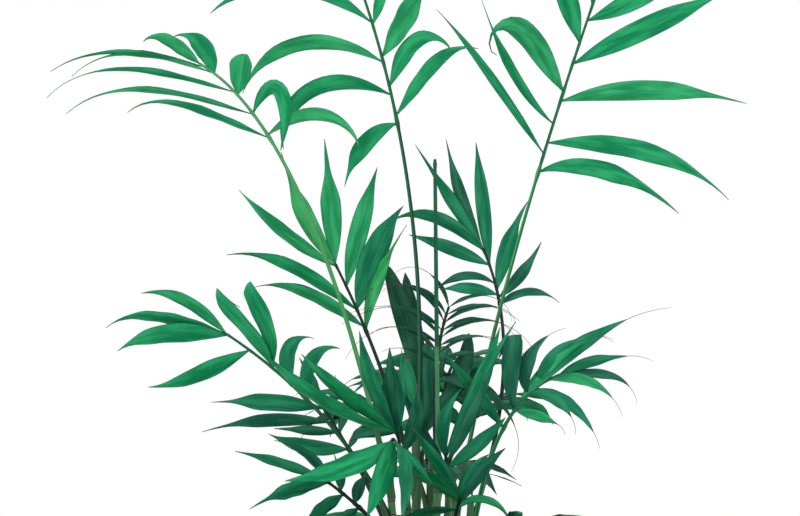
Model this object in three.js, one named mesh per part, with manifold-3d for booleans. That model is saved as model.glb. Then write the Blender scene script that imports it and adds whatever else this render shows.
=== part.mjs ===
// Potted parlor palm: a clump of slender canes in a plain tapered pot, with
// pinnate fronds arching out on every side. Millimetres, +Z up. The origin is
// the middle of the pot's flat underside, and the palm's broad view is along +Y.
import * as THREE from "three";
import { mergeVertices } from "three/addons/utils/BufferGeometryUtils.js";
import Module from "manifold-3d";

const wasm = await Module();
wasm.setup();

// Clearance between pieces that meet
const GAP = 0.3;

// Points nearer to each other than this are one corner
const SAME_CORNER = 1e-5;

// Pot
const POT_HEIGHT = 150;
const POT_BASE_RADIUS = 64;
const POT_BODY_TOP_RADIUS = 84;
const POT_RIM_RADIUS = 94;
const POT_RIM_HEIGHT = 30;
const POT_WALL = 6;
const POT_FLOOR = 9;
const POT_EDGE = 2;
const POT_SIDES = 40;

// Soil
const SOIL_LEVEL = 138;

// Canes
const CANE_FOOT_RADIUS = 4.6;
const CANE_TOP_RADIUS = 3.6;
const CANE_FLARE = 1.8;
const CANE_FLARE_FALL = 8;
const CANE_SIDES = 10;
const CANE_STEPS = 6;

// Stems of the fronds, from petiole to the end of the rachis
const STEM_FOOT_RADIUS = 2.3;
const STEM_TIP_RADIUS = 1.2;
const STEM_SIDES = 3;
const STEM_STEPS = 11;
const STEM_CLEARANCE = 2 * GAP;
const SEAT_STEP = 0.1;

// Leaflets
const LEAF_STEPS = 12;
const LEAF_THICKNESS = 0.013;
const LEAF_LEAST_THICKNESS = 1.1;
const LONG_LEAF = 84;
const LONG_LEAF_STATIONS = [2, 6, 9];
const SHORT_LEAF_STATIONS = [3, 8];
const LEAF_ROUNDNESS = 0.8;
const LEAF_FULLEST = 0.88;
const FOLD_PLACE = 0.68;
const FOLD_SHARPNESS = 22;
const LEAF_CLEARANCE = 0.5;
const LEAF_ROOT = 3;
const SWINGS = [0, 16, -16, 32, -32, 48, -48];

// Unopened new leaf that stands upright in the middle
const SPEAR_RADIUS = 2.6;
const SPEAR_TIP_RADIUS = 1.9;
const SPEAR_TIP = [5, 6, 592];
const SPEAR_SIDES = 6;
const SPEAR_STEPS = 4;

const COLOURS = {
  pot: { color: 0xa85f3f, roughness: 0.85 },
  soil: { color: 0x2c211a, roughness: 1.0 },
  cane: { color: 0x5f7a45, roughness: 0.6 },
  frond: { color: 0x18965a, roughness: 0.5 },
};

// Each cane runs from its foot on the soil to its top
const CANES = {
  left: { foot: [-31, 4], top: [-41, 6, 292] },
  center_left: { foot: [-12, 18], top: [-15, 22, 304] },
  center: { foot: [6, -4], top: [8, 4, 300] },
  right: { foot: [33, 2], top: [41, 2, 250] },
  center_right: { foot: [22, 20], top: [25, 24, 262] },
  front_left: { foot: [-18, -24], top: [-24, -32, 276] },
  front_right: { foot: [15, -28], top: [18, -36, 262] },
  back: { foot: [2, 40], top: [2, 50, 286] },
};

// Each frond leaves its cane at a height, bends towards its knee and ends at its
// tip. turn swings the face of the frond about the upright; face gives it
// outright. Lists run from the lowest leaflet to the last one: where it sits on
// the stem, the angle at which it starts, the angle through which it bends and
// how late it does so, its length, its width, its roll about its own line, its
// lift out of the frond's plane, its sag, and the fold by which its outer part
// is turned back. Angles are in degrees.
const FRONDS = [
  {
    name: "frond_tall_left", cane: "center_left", height: 297,
    knee: [4, -20, 570], tip: [-78, -50, 785], turn: -28,
    right: {
      count: 6, at: [0.664, 0.726, 0.79, 0.86, 0.93, 1], start: [50, 40, 52, 40, 30, 12],
      bend: [62, 121, -4, -12, -10, 0], late: [3, 2.4, 1, 1, 1, 1],
      length: [138, 110, 120, 116, 106, 92], width: [14, 17, 21, 17, 16, 13],
    },
    left: {
      count: 6, at: [0.648, 0.708, 0.778, 0.864, 0.93, 1], start: [83, 53, 46, 34, 26, 10],
      bend: [73, 126, 100, 82, 50, 25], late: [0.6, 1.4, 1.3, 1.2, 1.2, 1],
      length: [90, 158, 172, 182, 144, 97], width: [16, 17, 16, 16, 16, 13],
    },
  },
  {
    name: "frond_tall_right", cane: "center_right", height: 250,
    knee: [66, 40, 470], tip: [180, 80, 790], turn: 30,
    right: {
      count: 6, at: [0.653, 0.705, 0.777, 0.84, 0.912, 1], start: [44, 70, 57, 44, 50, 14],
      bend: [69, 46, 28, 4, -22, 0], late: [0.6, 1.6, 1, 1, 1, 1],
      length: [166, 212, 206, 190, 154, 100], width: [18, 19, 19, 21, 20, 15],
    },
    left: {
      count: 6, at: [0.685, 0.738, 0.793, 0.875, 0.935, 0.99], start: [63, 81, 60, 40, 14, 8],
      bend: [10, -35, 230, 26, 38, 10], late: [3.1, 0.6, 4, 1, 1, 1],
      length: [212, 172, 160, 118, 104, 97], width: [9, 9, 22, 21, 15, 14],
      roll: [40, 40, 15, 10, 15, 15],
    },
  },
  {
    name: "frond_arching_left", cane: "left", height: 286,
    knee: [-122, -30, 625], tip: [-228, -46, 685], turn: -15,
    left: {
      count: 5, at: [0.659, 0.741, 0.833, 0.931, 0.974], start: [35, 36, 30, 17, 18],
      bend: [67, 61, 65, 68, 51], late: [4, 2.5, 2.5, 2.1, 2.1],
      length: [150, 194, 196, 150, 158], width: [12, 12, 12, 10, 9], roll: [40, 48, 45, 45, 50],
    },
    right: {
      count: 5, at: [0.67, 0.744, 0.82, 0.93, 1], start: [81, 57, 50, 36, 11],
      bend: [123, -42, 0, -102, -94], late: [1.6, 2.5, 1, 2.2, 3.5], sag: [0, 2.5, 0, 0, 0],
      length: [119, 128, 64, 63, 66], width: [12, 15, 22, 17, 13], fold: [0, 0, 160, 0, 0],
    },
  },
  {
    name: "frond_mid_left", cane: "center_left", height: 284,
    knee: [-46, 16, 391], tip: [-95, 16, 487], turn: 10,
    left: {
      count: 4, at: [0.675, 0.762, 0.987, 1], start: [33, 29, 38, 12], bend: [52, 48, -21, -24],
      late: [2.4, 2.2, 0.7, 0.8], length: [124, 148, 125, 126], width: [13, 13, 14, 17],
      roll: [30, 30, 35, 15], lift: [4, 4, 4, -4],
    },
    right: {
      count: 4, at: [0.657, 0.766, 0.882, 1], start: [21, 40, 35, 23], bend: [36, 26, 8, -2],
      late: [0.6, 2.2, 0.6, 1.3], length: [116, 115, 124, 126], width: [14, 23, 19, 20],
      roll: [30, 0, 15, 0],
    },
  },
  {
    name: "frond_low_left", cane: "left", height: 236,
    knee: [-92, -40, 345], tip: [-200, -70, 418], turn: -10,
    left: {
      count: 4, at: [0.895, 0.994, 1, 1], start: [61, 28, 17, -11], bend: [-24, 42, 60, 57],
      late: [3.2, 2.2, 3.3, 2], length: [108, 114, 124, 99], width: [18, 18, 13, 12],
      roll: [15, 15, 25, 15], lift: [12, 12, 0, 12],
    },
    right: {
      count: 4, at: [0.61, 0.684, 0.772, 0.785], start: [46, 31, 29, 58], bend: [110, 130, -33, -53],
      late: [2.5, 2.2, 0.6, 0.6], length: [76, 70, 146, 133], width: [14, 15, 17, 18],
      roll: [15, 15, 30, 30], fold: [0, 0, 150, 160], lift: [12, 12, 24, 8],
    },
  },
  {
    name: "frond_dark_left", cane: "left", height: 214,
    knee: [-72, 50, 290], tip: [-110, 80, 342], turn: 15,
    left: {
      count: 4, at: [0.622, 0.758, 0.848, 0.982], start: [72, 61, 58, 53], bend: [-33, 4, 27, 14],
      length: [84, 67, 137, 115], width: [15, 9, 12, 18], roll: [30, 30, 30, 10],
    },
    right: {
      count: 4, at: [0.62, 0.75, 0.86, 1], start: [50, 40, 35, 14], bend: [30, 20, 0, -10],
      length: [40, 44, 50, 60], width: 11, roll: 30,
    },
  },
  {
    name: "frond_lowest_left", cane: "front_left", height: 196,
    knee: [-62, -50, 246], tip: [-113, -80, 282], turn: -20,
    left: {
      count: 4, at: [0.55, 0.717, 0.868, 0.915], start: [76, 72, 40, 11], bend: [16, 12, 31, 12],
      length: [44, 52, 84, 99], width: [14, 17, 18, 11], roll: 10,
    },
    right: {
      count: 3, at: [0.6, 0.75, 0.88], start: [50, 46, 30], bend: [20, -20, -62],
      length: [40, 50, 78], width: 11, roll: 20,
    },
  },
  {
    name: "frond_mid_right", cane: "right", height: 236,
    knee: [100, 40, 400], tip: [54, 60, 503], turn: 20,
    left: {
      count: 6, at: [0.783, 0.831, 0.918, 0.985, 0.99, 1], start: [65, 40, 62, 26, 11, 4],
      bend: [30, 85, 11, 79, 0, -19], late: [0.9, 0.7, 1.3, 1.6, 1.3, 0.8],
      length: [69, 81, 109, 113, 128, 121], width: [11, 8, 13, 13, 11, 12],
      roll: [15, 15, 25, 30, 30, 30],
    },
    right: {
      count: 4, at: [0.74, 0.773, 0.804, 0.918], start: [56, 65, 24, 13], bend: [88, -27, 19, 0],
      late: [1.2, 0.6, 1.5, 1.3], length: [68, 74, 99, 129], width: [10, 11, 16, 14],
      roll: [30, 15, 15, 20],
    },
  },
  {
    name: "frond_feathered", cane: "center", height: 292,
    knee: [0, 30, 390], tip: [19, 30, 443],
    left: {
      count: 8, at: [0.56, 0.62, 0.69, 0.74, 0.8, 0.87, 0.93, 1],
      start: [60, 40, 62, 44, 56, 38, 44, 30], bend: [40, 74, 44, 70, 48, 66, 54, 50],
      length: [46, 66, 58, 74, 60, 68, 52, 46], width: [6, 5], roll: [45, 30],
    },
    right: {
      count: 9, at: [0.45, 0.56, 0.62, 0.68, 0.74, 0.8, 0.86, 0.93, 1],
      start: [86, 54, 40, 52, 38, 46, 34, 42, 32], bend: [71, 40, 56, 44, 60, 50, 64, 52, 56],
      length: [102, 44, 58, 50, 64, 58, 66, 54, 48], width: [13, 6, 5, 6, 5, 6, 6, 5, 5],
      roll: [15, 40, 40, 40, 40, 40, 40, 40, 40],
    },
  },
  {
    name: "frond_low_right", cane: "right", height: 208,
    knee: [60, -20, 359], tip: [138, 20, 378], turn: 15,
    right: {
      count: 8, at: [0.593, 0.629, 0.658, 0.711, 0.77, 0.866, 0.943, 1],
      start: [63, -10, -12, 10, 46, 14, -14, 14], bend: [20, 37, 36, 96, 54, 65, 30, 48],
      late: [1.4, 1, 0.6, 0.6, 0.9, 1.3, 0.6, 3.5], length: [46, 102, 140, 54, 76, 74, 82, 77],
      width: [11, 10, 15, 11, 12, 11, 11, 9], roll: [15, 25, 15, 15, 15, 15, 15, 15],
      lift: [12, 24, 12, 12, 12, 12, 12, -4],
    },
    left: {
      count: 4, at: [0.484, 0.596, 0.717, 0.779], start: [77, 63, 91, 53],
      bend: [3, -47, -102, -77], late: [1.2, 0.6, 0.7, 0.6], length: [141, 115, 70, 84],
      width: [13, 17, 14, 14], fold: [0, 150, 0, 0], lift: [36, 12, 12, 12],
    },
  },
  {
    name: "frond_broad_center", cane: "center_left", height: 272,
    knee: [-6, 14, 306], tip: [-4, 26, 330],
    left: {
      count: 4, at: [0.766, 0.903, 0.97, 1], start: [-2, 40, 11, 6], bend: [11, -28, 1, 20],
      late: [0.7, 0.6, 1.1, 0.6], length: [94, 74, 168, 177], width: [20, 13, 17, 20],
      roll: [10, 20, 5, 15], lift: [24, 24, -6, 12],
    },
    right: {
      count: 3, at: [0.7, 0.85, 1], start: [23, 39, 9], bend: [15, -43, 7], length: [82, 111, 84],
      width: [16, 18, 13], roll: [30, 20, 40],
    },
  },
  {
    name: "frond_near_left", cane: "front_left", height: 262,
    knee: [-27, -58, 296], tip: [-33, -84, 322],
    left: {
      count: 4, at: [0.94, 0.98, 0.99, 1], start: [13, -3, 29, 49], bend: [-16, -6, -7, -27],
      late: [1, 1, 1, 0.6], length: [155, 117, 168, 200], width: [15, 18, 16, 20],
      roll: [30, 5, 10, 20],
    },
    right: {
      count: 2, at: [0.6, 0.92], start: [30, 12], bend: [-30, -2], length: [96, 116], width: [15, 9],
      roll: [30, 15], lift: [12, -6],
    },
  },
  {
    name: "frond_front_drop", cane: "front_left", height: 226,
    knee: [-30, -100, 332], tip: [-39, -118, 314], face: [0, -0.8, 0.6],
    left: {
      count: 2, at: [0.86, 0.97], start: [44, 62], bend: [-47, 20], length: [111, 64], width: [18, 12],
      sag: [2, 1],
    },
    right: {
      count: 2, at: [0.9, 0.96], start: [-21, 13], bend: [59, 79], length: [97, 125], width: [19, 23],
      sag: [2, 0.6],
    },
  },
  {
    name: "frond_near_right", cane: "front_right", height: 252,
    knee: [16, -56, 282], tip: [15, -62, 302],
    right: {
      count: 4, at: [0.62, 0.74, 0.86, 1], start: [52, 30, 23, 36], bend: [-12, -11, 12, -17],
      late: [1.2, 1.2, 1.2, 0.7], length: [84, 105, 156, 137], width: [13, 11, 11, 15],
      roll: [30, 30, 25, 10], lift: [12, 12, -4, -10],
    },
    left: {
      count: 2, at: [0.7, 0.84], start: [34, 14], bend: [-20, -66], length: [96, 78], width: [14, 12],
      roll: [40, 20], lift: [12, 20],
    },
  },
  {
    name: "frond_front_low", cane: "front_right", height: 214,
    knee: [24, -62, 236], tip: [29, -74, 258],
    left: {
      count: 3, at: [0.7, 0.9, 1], start: [84, 47, 39], bend: [46, 15, 5], length: [70, 107, 93],
      width: [17, 22, 14], roll: [20, 20, 5], lift: [24, 20, 8],
    },
    right: {
      count: 3, at: [0.7, 0.84, 0.96], start: [15, 12, -4], bend: [143, 20, 46], length: [72, 88, 65],
      width: [8, 14, 9], roll: [15, 30, 15],
    },
  },
];

// Fronds that fill the crown's back, front and foot. azimuth is the way they
// lean, in degrees from +X, reach how far out the tip lies, and top its height.
const RISING = [
  { azimuth: 97, reach: 190, top: 368, height: 262, leaflet: 90 },
  { azimuth: 124, reach: 150, top: 340, height: 246, leaflet: 88 },
  { azimuth: 52, reach: 138, top: 350, height: 244, leaflet: 84 },
  { azimuth: 72, reach: 108, top: 388, height: 280, leaflet: 78 },
  { azimuth: 84, reach: 236, top: 272, height: 222, leaflet: 100 },
  { azimuth: 290, reach: 190, top: 220, height: 194, leaflet: 92 },
  { azimuth: 262, reach: 214, top: 216, height: 200, leaflet: 96 },
  { azimuth: 236, reach: 186, top: 222, height: 190, leaflet: 92 },
];

// How far above its tip a rising frond's knee lies, as a share of its reach
const RISING_ARCH = 0.1;

// A ring of fronds that droop over the pot's rim
const SKIRT_COUNT = 12;
const SKIRT_REACH = 200;
const SKIRT_TOP = 196;
const SKIRT_ARCH = 40;
const SKIRT_HEIGHTS = [164, 182, 173];
const SKIRT_LEAFLET = 96;

// What the rising and the drooping fronds share. FILL_BARE is the share of the
// stem with no leaflets. Lists run from the lowest pair of leaflets to the last.
const FILL_PAIRS = 5;
const FILL_BARE = 0.42;
const FILL_SAG = 0.85;
const FILL_LIFT = 14;
const FILL_FACE_LEAN = 0.4;
const FILL_KNEE_REACH = 0.42;
const FILL_START = [66, 56, 48, 36, 14];
const FILL_BEND = -8;
const FILL_LENGTH = [0.78, 1, 1.05, 0.98, 0.84];
const FILL_WIDTH = [14, 18, 19, 17, 14];

// Swings that make the rings and the pairs uneven: in degrees, as a share of the
// reach, in height, and for the leaflets in degrees and as a share of the length
const SKIRT_TURN_SWING = { size: 7, rate: 2.4 };
const SKIRT_REACH_SWING = { size: 0.14, rate: 1.7 };
const SKIRT_TOP_SWING = { size: 10, rate: 1.9 };
const FILL_START_SWING = { size: 9, rate: 2.7 };
const FILL_LENGTH_SWING = { size: 0.14, rate: 4.1 };

const vec = (x, y, z) => new THREE.Vector3(x, y, z);
const radians = THREE.MathUtils.degToRad;

// A value from a short list that runs evenly from share 0 to share 1
function spread(values, share) {
  if (!Array.isArray(values)) return values;
  const place = share * (values.length - 1);
  const low = Math.min(Math.floor(place), values.length - 2);
  return THREE.MathUtils.lerp(values[low], values[low + 1], place - low);
}

// A closed body as a solid that can be joined and cut
function toSolid(geometry) {
  const bare = new THREE.BufferGeometry();
  bare.setAttribute("position", geometry.getAttribute("position"));
  if (geometry.index) bare.setIndex(geometry.index);
  const merged = mergeVertices(bare, SAME_CORNER);
  return new wasm.Manifold(new wasm.Mesh({
    numProp: 3,
    vertProperties: Float32Array.from(merged.getAttribute("position").array),
    triVerts: Uint32Array.from(merged.index.array),
  }));
}

function toGeometry(solid) {
  const mesh = solid.getMesh();
  const geometry = new THREE.BufferGeometry();
  geometry.setAttribute("position", new THREE.BufferAttribute(mesh.vertProperties, 3));
  geometry.setIndex(new THREE.BufferAttribute(mesh.triVerts, 1));
  return geometry;
}

// A closed skin over rings of equal size, with a point or a flat cap at each end
function skin(rings, startPoint, endPoint) {
  const sides = rings[0].length;
  const points = rings.flat().concat([startPoint, endPoint]);
  const start = points.length - 2;
  const end = points.length - 1;
  const index = [];
  for (let side = 0; side < sides; side++) {
    const next = (side + 1) % sides;
    index.push(start, next, side);
    for (let ring = 0; ring < rings.length - 1; ring++) {
      const low = ring * sides;
      const high = low + sides;
      index.push(low + side, low + next, high + next, low + side, high + next, high + side);
    }
    const last = (rings.length - 1) * sides;
    index.push(end, last + side, last + next);
  }
  const geometry = new THREE.BufferGeometry().setFromPoints(points);
  geometry.setIndex(index);
  return geometry;
}

// A tapering limb of a few sides along a curve. axesAt gives the two directions
// that its cross section is drawn in.
function limb(curve, axesAt, radiusAt, sides, steps) {
  const rings = [];
  for (let step = 0; step <= steps; step++) {
    const centre = curve.getPoint(step / steps);
    const [first, second] = axesAt(step / steps);
    const radius = radiusAt(step / steps);
    const ring = [];
    for (let side = 0; side < sides; side++) {
      const angle = (2 * Math.PI * side) / sides;
      ring.push(centre.clone()
        .addScaledVector(first, radius * Math.cos(angle))
        .addScaledVector(second, radius * Math.sin(angle)));
    }
    rings.push(ring);
  }
  return skin(rings, curve.getPoint(0), curve.getPoint(1));
}

const taper = (foot, tip) => (share) => THREE.MathUtils.lerp(foot, tip, share);

// Level cross sections, so that the limb is cut flat at its foot
const levelAxes = () => [vec(1, 0, 0), vec(0, 1, 0)];

function caneAxis(cane) {
  const [x, y] = cane.foot;
  return new THREE.LineCurve3(vec(x, y, SOIL_LEVEL + GAP), vec(...cane.top));
}

// A cane tapers evenly above its flared foot
function caneRadius(share) {
  return taper(CANE_FOOT_RADIUS, CANE_TOP_RADIUS)(share) + CANE_FLARE * (1 - share) ** CANE_FLARE_FALL;
}

// A stem whose foot stands a little out from the cane's middle, on the side of
// its knee
function stemCurve(frond, standOff) {
  const axis = caneAxis(CANES[frond.cane]);
  const share = (frond.height - axis.v1.z) / (axis.v2.z - axis.v1.z);
  const foot = axis.getPoint(share);
  const knee = vec(...frond.knee);
  const out = knee.clone().sub(foot).setZ(0).normalize();
  return new THREE.QuadraticBezierCurve3(foot.addScaledVector(out, standOff), knee, vec(...frond.tip));
}

// Cross sections square to a stem, which bends in one plane
function stemAxes(stem) {
  const square = stem.v1.clone().sub(stem.v0).cross(stem.v2.clone().sub(stem.v1)).normalize();
  return (share) => [square, stem.getTangent(share).cross(square)];
}

function stemSolid(stem, clearance) {
  const radius = taper(STEM_FOOT_RADIUS + clearance, STEM_TIP_RADIUS + clearance);
  return toSolid(limb(stem, stemAxes(stem), radius, STEM_SIDES, STEM_STEPS));
}

// A point on the straight pieces that the stem is made of
function stemPoint(stem, share) {
  const step = Math.min(Math.floor(share * STEM_STEPS), STEM_STEPS - 1);
  const low = stem.getPoint(step / STEM_STEPS);
  return low.lerp(stem.getPoint((step + 1) / STEM_STEPS), share * STEM_STEPS - step);
}

// Middle line of a leaflet: it starts in the frond's plane at an angle to the
// stem, turns steadily, sags under its own weight, and may fold back past its
// middle. The fold comes on along an S-shaped curve. faces holds the way that
// the blade faces at each step.
function leafletPath(frond, stem, sideName, number, swing) {
  const side = frond[sideName];
  const share = side.count > 1 ? number / (side.count - 1) : 0;
  const value = (key, usual) => spread(side[key] ?? frond[key] ?? usual, share);
  const at = spread(side.at ?? [frond.bare, 1], share);
  const along = stem.getTangent(at);
  const turn = radians(frond.turn ?? 0);
  const face = frond.face ? vec(...frond.face) : vec(Math.sin(turn), -Math.cos(turn), 0);
  face.addScaledVector(along, -face.dot(along)).normalize();
  const out = along.clone().cross(face).multiplyScalar(sideName === "right" ? 1 : -1);
  const lift = radians(value("lift", 12) + swing);
  const outward = out.multiplyScalar(Math.cos(lift)).addScaledVector(face, Math.sin(lift));
  const length = value("length", 80);
  const point = stemPoint(stem, at);
  const points = [point.clone().addScaledVector(along, -LEAF_ROOT)];
  const ways = [];
  const faces = [];
  for (let step = 0; step < LEAF_STEPS; step++) {
    const part = (step + 0.5) / LEAF_STEPS;
    const angle = radians(value("start", 40) + value("bend", 30) * part ** value("late", 1.2));
    const fold = radians(value("fold", 0)) / (1 + Math.exp(FOLD_SHARPNESS * (FOLD_PLACE - part)));
    const level = along.clone().multiplyScalar(Math.cos(angle)).addScaledVector(outward, Math.sin(angle));
    const way = level.clone().multiplyScalar(Math.cos(fold))
      .addScaledVector(face, -Math.sin(fold))
      .addScaledVector(vec(0, 0, -1), value("sag", 0) * part)
      .normalize();
    point.addScaledVector(way, length / LEAF_STEPS);
    points.push(point.clone());
    ways.push(way);
    faces.push(face.clone().multiplyScalar(Math.cos(fold)).addScaledVector(level, Math.sin(fold)));
  }
  return { points, ways, faces, length, width: value("width", 14), roll: radians(value("roll", 15)) };
}

// Half of the blade's width: narrow at its foot, fullest before its middle
function halfWidth(width, share) {
  return 0.5 * width * Math.sin(Math.PI * share ** LEAF_FULLEST) ** LEAF_ROUNDNESS;
}

// A blade with a ridge on its face; clearance makes it larger on every side
function blade(path, clearance) {
  const stations = path.length > LONG_LEAF ? LONG_LEAF_STATIONS : SHORT_LEAF_STATIONS;
  const thickness = Math.max(LEAF_THICKNESS * path.length, LEAF_LEAST_THICKNESS);
  const rings = stations.map((station) => {
    const way = path.ways[station].clone().add(path.ways[station - 1]).normalize();
    const face = path.faces[station].clone().add(path.faces[station - 1]);
    const up = face.clone().addScaledVector(way, -face.dot(way)).normalize();
    const across = way.clone().cross(up);
    const flat = across.clone().multiplyScalar(Math.cos(path.roll)).addScaledVector(up, Math.sin(path.roll));
    const over = up.clone().multiplyScalar(Math.cos(path.roll)).addScaledVector(across, -Math.sin(path.roll));
    const half = halfWidth(path.width, station / LEAF_STEPS) + clearance;
    const centre = path.points[station];
    const ring = [
      centre.clone().addScaledVector(flat, -half),
      centre.clone().addScaledVector(over, thickness + clearance),
      centre.clone().addScaledVector(flat, half),
    ];
    if (clearance > 0) ring.push(centre.clone().addScaledVector(over, -clearance));
    return ring;
  });
  const tip = path.points[LEAF_STEPS].clone().addScaledVector(path.ways[LEAF_STEPS - 1], clearance);
  return skin(rings, path.points[0], tip);
}

// The solids made so far, by name, for the clash tests
const placed = new Map();
const stems = new Map();

function boxOf(solid) {
  const { min, max } = solid.boundingBox();
  return new THREE.Box3(vec(...min), vec(...max));
}

function firstTouched(solid, ownName) {
  const box = boxOf(solid);
  for (const [name, other] of placed) {
    if (name === ownName || !boxOf(other).intersectsBox(box)) continue;
    if (!other.intersect(solid).isEmpty()) return name;
  }
  return undefined;
}

// A stem moves out from its cane until the two are just clear. All the stems
// stand before the first leaflet grows.
function placeStem(frond, notes) {
  const cane = placed.get(`cane_${frond.cane}`);
  let standOff = STEM_FOOT_RADIUS;
  let stem = stemCurve(frond, standOff);
  while (!cane.intersect(stemSolid(stem, STEM_CLEARANCE)).isEmpty()) {
    standOff += SEAT_STEP;
    stem = stemCurve(frond, standOff);
  }
  const crossed = firstTouched(stemSolid(stem, GAP), frond.name);
  if (crossed) notes.crossed.push(`${frond.name} ${crossed}`);
  stems.set(frond.name, stem);
  placed.set(frond.name, stemSolid(stem, 0));
}

// A frond: its stem with the leaflets fused on. A leaflet that would touch
// another piece swings out of the frond's plane, or is skipped.
function frondSolid(frond, notes) {
  const stem = stems.get(frond.name);
  let solid = placed.get(frond.name);
  for (const sideName of ["left", "right"]) {
    for (let number = 0; number < frond[sideName].count; number++) {
      const swing = SWINGS.find((angle) => {
        const path = leafletPath(frond, stem, sideName, number, angle);
        return !firstTouched(toSolid(blade(path, LEAF_CLEARANCE)), frond.name);
      });
      if (swing === undefined) {
        notes.skipped.push(`${frond.name} ${sideName} ${number}`);
        continue;
      }
      if (swing !== 0) notes.swung.push(`${frond.name} ${sideName} ${number} ${swing}`);
      solid = solid.add(toSolid(blade(leafletPath(frond, stem, sideName, number, swing), 0)));
    }
  }
  return solid;
}

// The cane whose foot lies furthest out the given way
function furthestCane(way) {
  const reach = (name) => CANES[name].foot[0] * way.x + CANES[name].foot[1] * way.y;
  return Object.keys(CANES).reduce((best, name) => (reach(name) > reach(best) ? name : best));
}

const swingOf = ({ size, rate }, count) => size * Math.sin(rate * count);

// One side of a fill frond. count differs from side to side, so that no two
// sides swing alike.
function fillSide(leaflet, count) {
  return {
    count: FILL_PAIRS,
    start: FILL_START.map((angle, pair) => angle + swingOf(FILL_START_SWING, count + pair)),
    bend: FILL_BEND,
    length: FILL_LENGTH.map((share, pair) => leaflet * (share + swingOf(FILL_LENGTH_SWING, count + pair))),
    width: FILL_WIDTH,
  };
}

// A frond with pairs of sagging leaflets that leans out one way
function fillFrond(number, name, azimuth, reach, height, kneeHeight, top, leaflet) {
  const way = vec(Math.cos(radians(azimuth)), Math.sin(radians(azimuth)), 0);
  return {
    name, cane: furthestCane(way), height, bare: FILL_BARE, sag: FILL_SAG, lift: FILL_LIFT,
    face: [-FILL_FACE_LEAN * way.x, -FILL_FACE_LEAN * way.y, 1],
    knee: [FILL_KNEE_REACH * reach * way.x, FILL_KNEE_REACH * reach * way.y, kneeHeight],
    tip: [reach * way.x, reach * way.y, top],
    left: fillSide(leaflet, 2 * number * FILL_PAIRS),
    right: fillSide(leaflet, (2 * number + 1) * FILL_PAIRS),
  };
}

function fillFronds() {
  const fronds = RISING.map((frond, number) => fillFrond(
    number, `frond_rising_${number + 1}`, frond.azimuth, frond.reach, frond.height,
    frond.top + RISING_ARCH * frond.reach, frond.top, frond.leaflet,
  ));
  for (let number = 0; number < SKIRT_COUNT; number++) {
    const azimuth = (360 / SKIRT_COUNT) * number + swingOf(SKIRT_TURN_SWING, number);
    const reach = SKIRT_REACH * (1 + swingOf(SKIRT_REACH_SWING, number));
    const top = SKIRT_TOP + swingOf(SKIRT_TOP_SWING, number);
    const height = SKIRT_HEIGHTS[number % SKIRT_HEIGHTS.length];
    const name = `frond_skirt_${number + 1}`;
    const place = RISING.length + number;
    fronds.push(fillFrond(place, name, azimuth, reach, height, top + SKIRT_ARCH, top, SKIRT_LEAFLET));
  }
  return fronds;
}

function potWallRadius(z) {
  const bodyHeight = POT_HEIGHT - POT_RIM_HEIGHT;
  return THREE.MathUtils.lerp(POT_BASE_RADIUS, POT_BODY_TOP_RADIUS, z / bodyHeight);
}

function latheUp(profile) {
  const geometry = new THREE.LatheGeometry(profile.map(([r, z]) => new THREE.Vector2(r, z)), POT_SIDES);
  return geometry.rotateX(Math.PI / 2);
}

function potGeometry() {
  const rimFoot = POT_HEIGHT - POT_RIM_HEIGHT;
  return latheUp([
    [0, 0],
    [POT_BASE_RADIUS - POT_EDGE, 0],
    [POT_BASE_RADIUS, POT_EDGE],
    [potWallRadius(rimFoot), rimFoot],
    [POT_RIM_RADIUS - POT_EDGE, rimFoot + POT_EDGE],
    [POT_RIM_RADIUS, POT_HEIGHT - POT_EDGE],
    [POT_RIM_RADIUS - POT_EDGE, POT_HEIGHT],
    [potWallRadius(POT_HEIGHT) - POT_WALL + POT_EDGE, POT_HEIGHT],
    [potWallRadius(POT_HEIGHT) - POT_WALL, POT_HEIGHT - POT_EDGE],
    [potWallRadius(POT_FLOOR) - POT_WALL, POT_FLOOR],
    [0, POT_FLOOR],
  ]);
}

function soilGeometry() {
  const low = POT_FLOOR + GAP;
  return latheUp([
    [0, low],
    [potWallRadius(low) - POT_WALL - 2 * GAP, low],
    [potWallRadius(SOIL_LEVEL) - POT_WALL - 2 * GAP, SOIL_LEVEL],
    [0, SOIL_LEVEL],
  ]);
}

// The group also notes which stems crossed and which leaflets were moved or
// skipped
const palm = new THREE.Group();
palm.userData = { crossed: [], skipped: [], swung: [] };

function addPiece(name, solid, finish) {
  placed.set(name, solid);
  const material = new THREE.MeshStandardMaterial({ ...finish, metalness: 0 });
  const mesh = new THREE.Mesh(toGeometry(solid), material);
  mesh.name = name;
  palm.add(mesh);
}

addPiece("pot", toSolid(potGeometry()), COLOURS.pot);
addPiece("soil", toSolid(soilGeometry()), COLOURS.soil);

for (const [name, cane] of Object.entries(CANES)) {
  const geometry = limb(caneAxis(cane), levelAxes, caneRadius, CANE_SIDES, CANE_STEPS);
  addPiece(`cane_${name}`, toSolid(geometry), COLOURS.cane);
}

const spearFoot = caneAxis(CANES.center).v2.clone().add(vec(0, 0, GAP));
const spearAxis = new THREE.LineCurve3(spearFoot, vec(...SPEAR_TIP));
const spear = limb(spearAxis, levelAxes, taper(SPEAR_RADIUS, SPEAR_TIP_RADIUS), SPEAR_SIDES, SPEAR_STEPS);
addPiece("spear_leaf", toSolid(spear), COLOURS.frond);

const fronds = [...FRONDS, ...fillFronds()];
for (const frond of fronds) placeStem(frond, palm.userData);
for (const frond of fronds) addPiece(frond.name, frondSolid(frond, palm.userData), COLOURS.frond);

export default palm;
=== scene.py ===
"""Potted parlor palm: the finished surfaces of the pot, the soil, the ringed canes and
the fronds, built around the solids of the frame. Lengths in the tables are millimetres.
"""

import itertools

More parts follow.
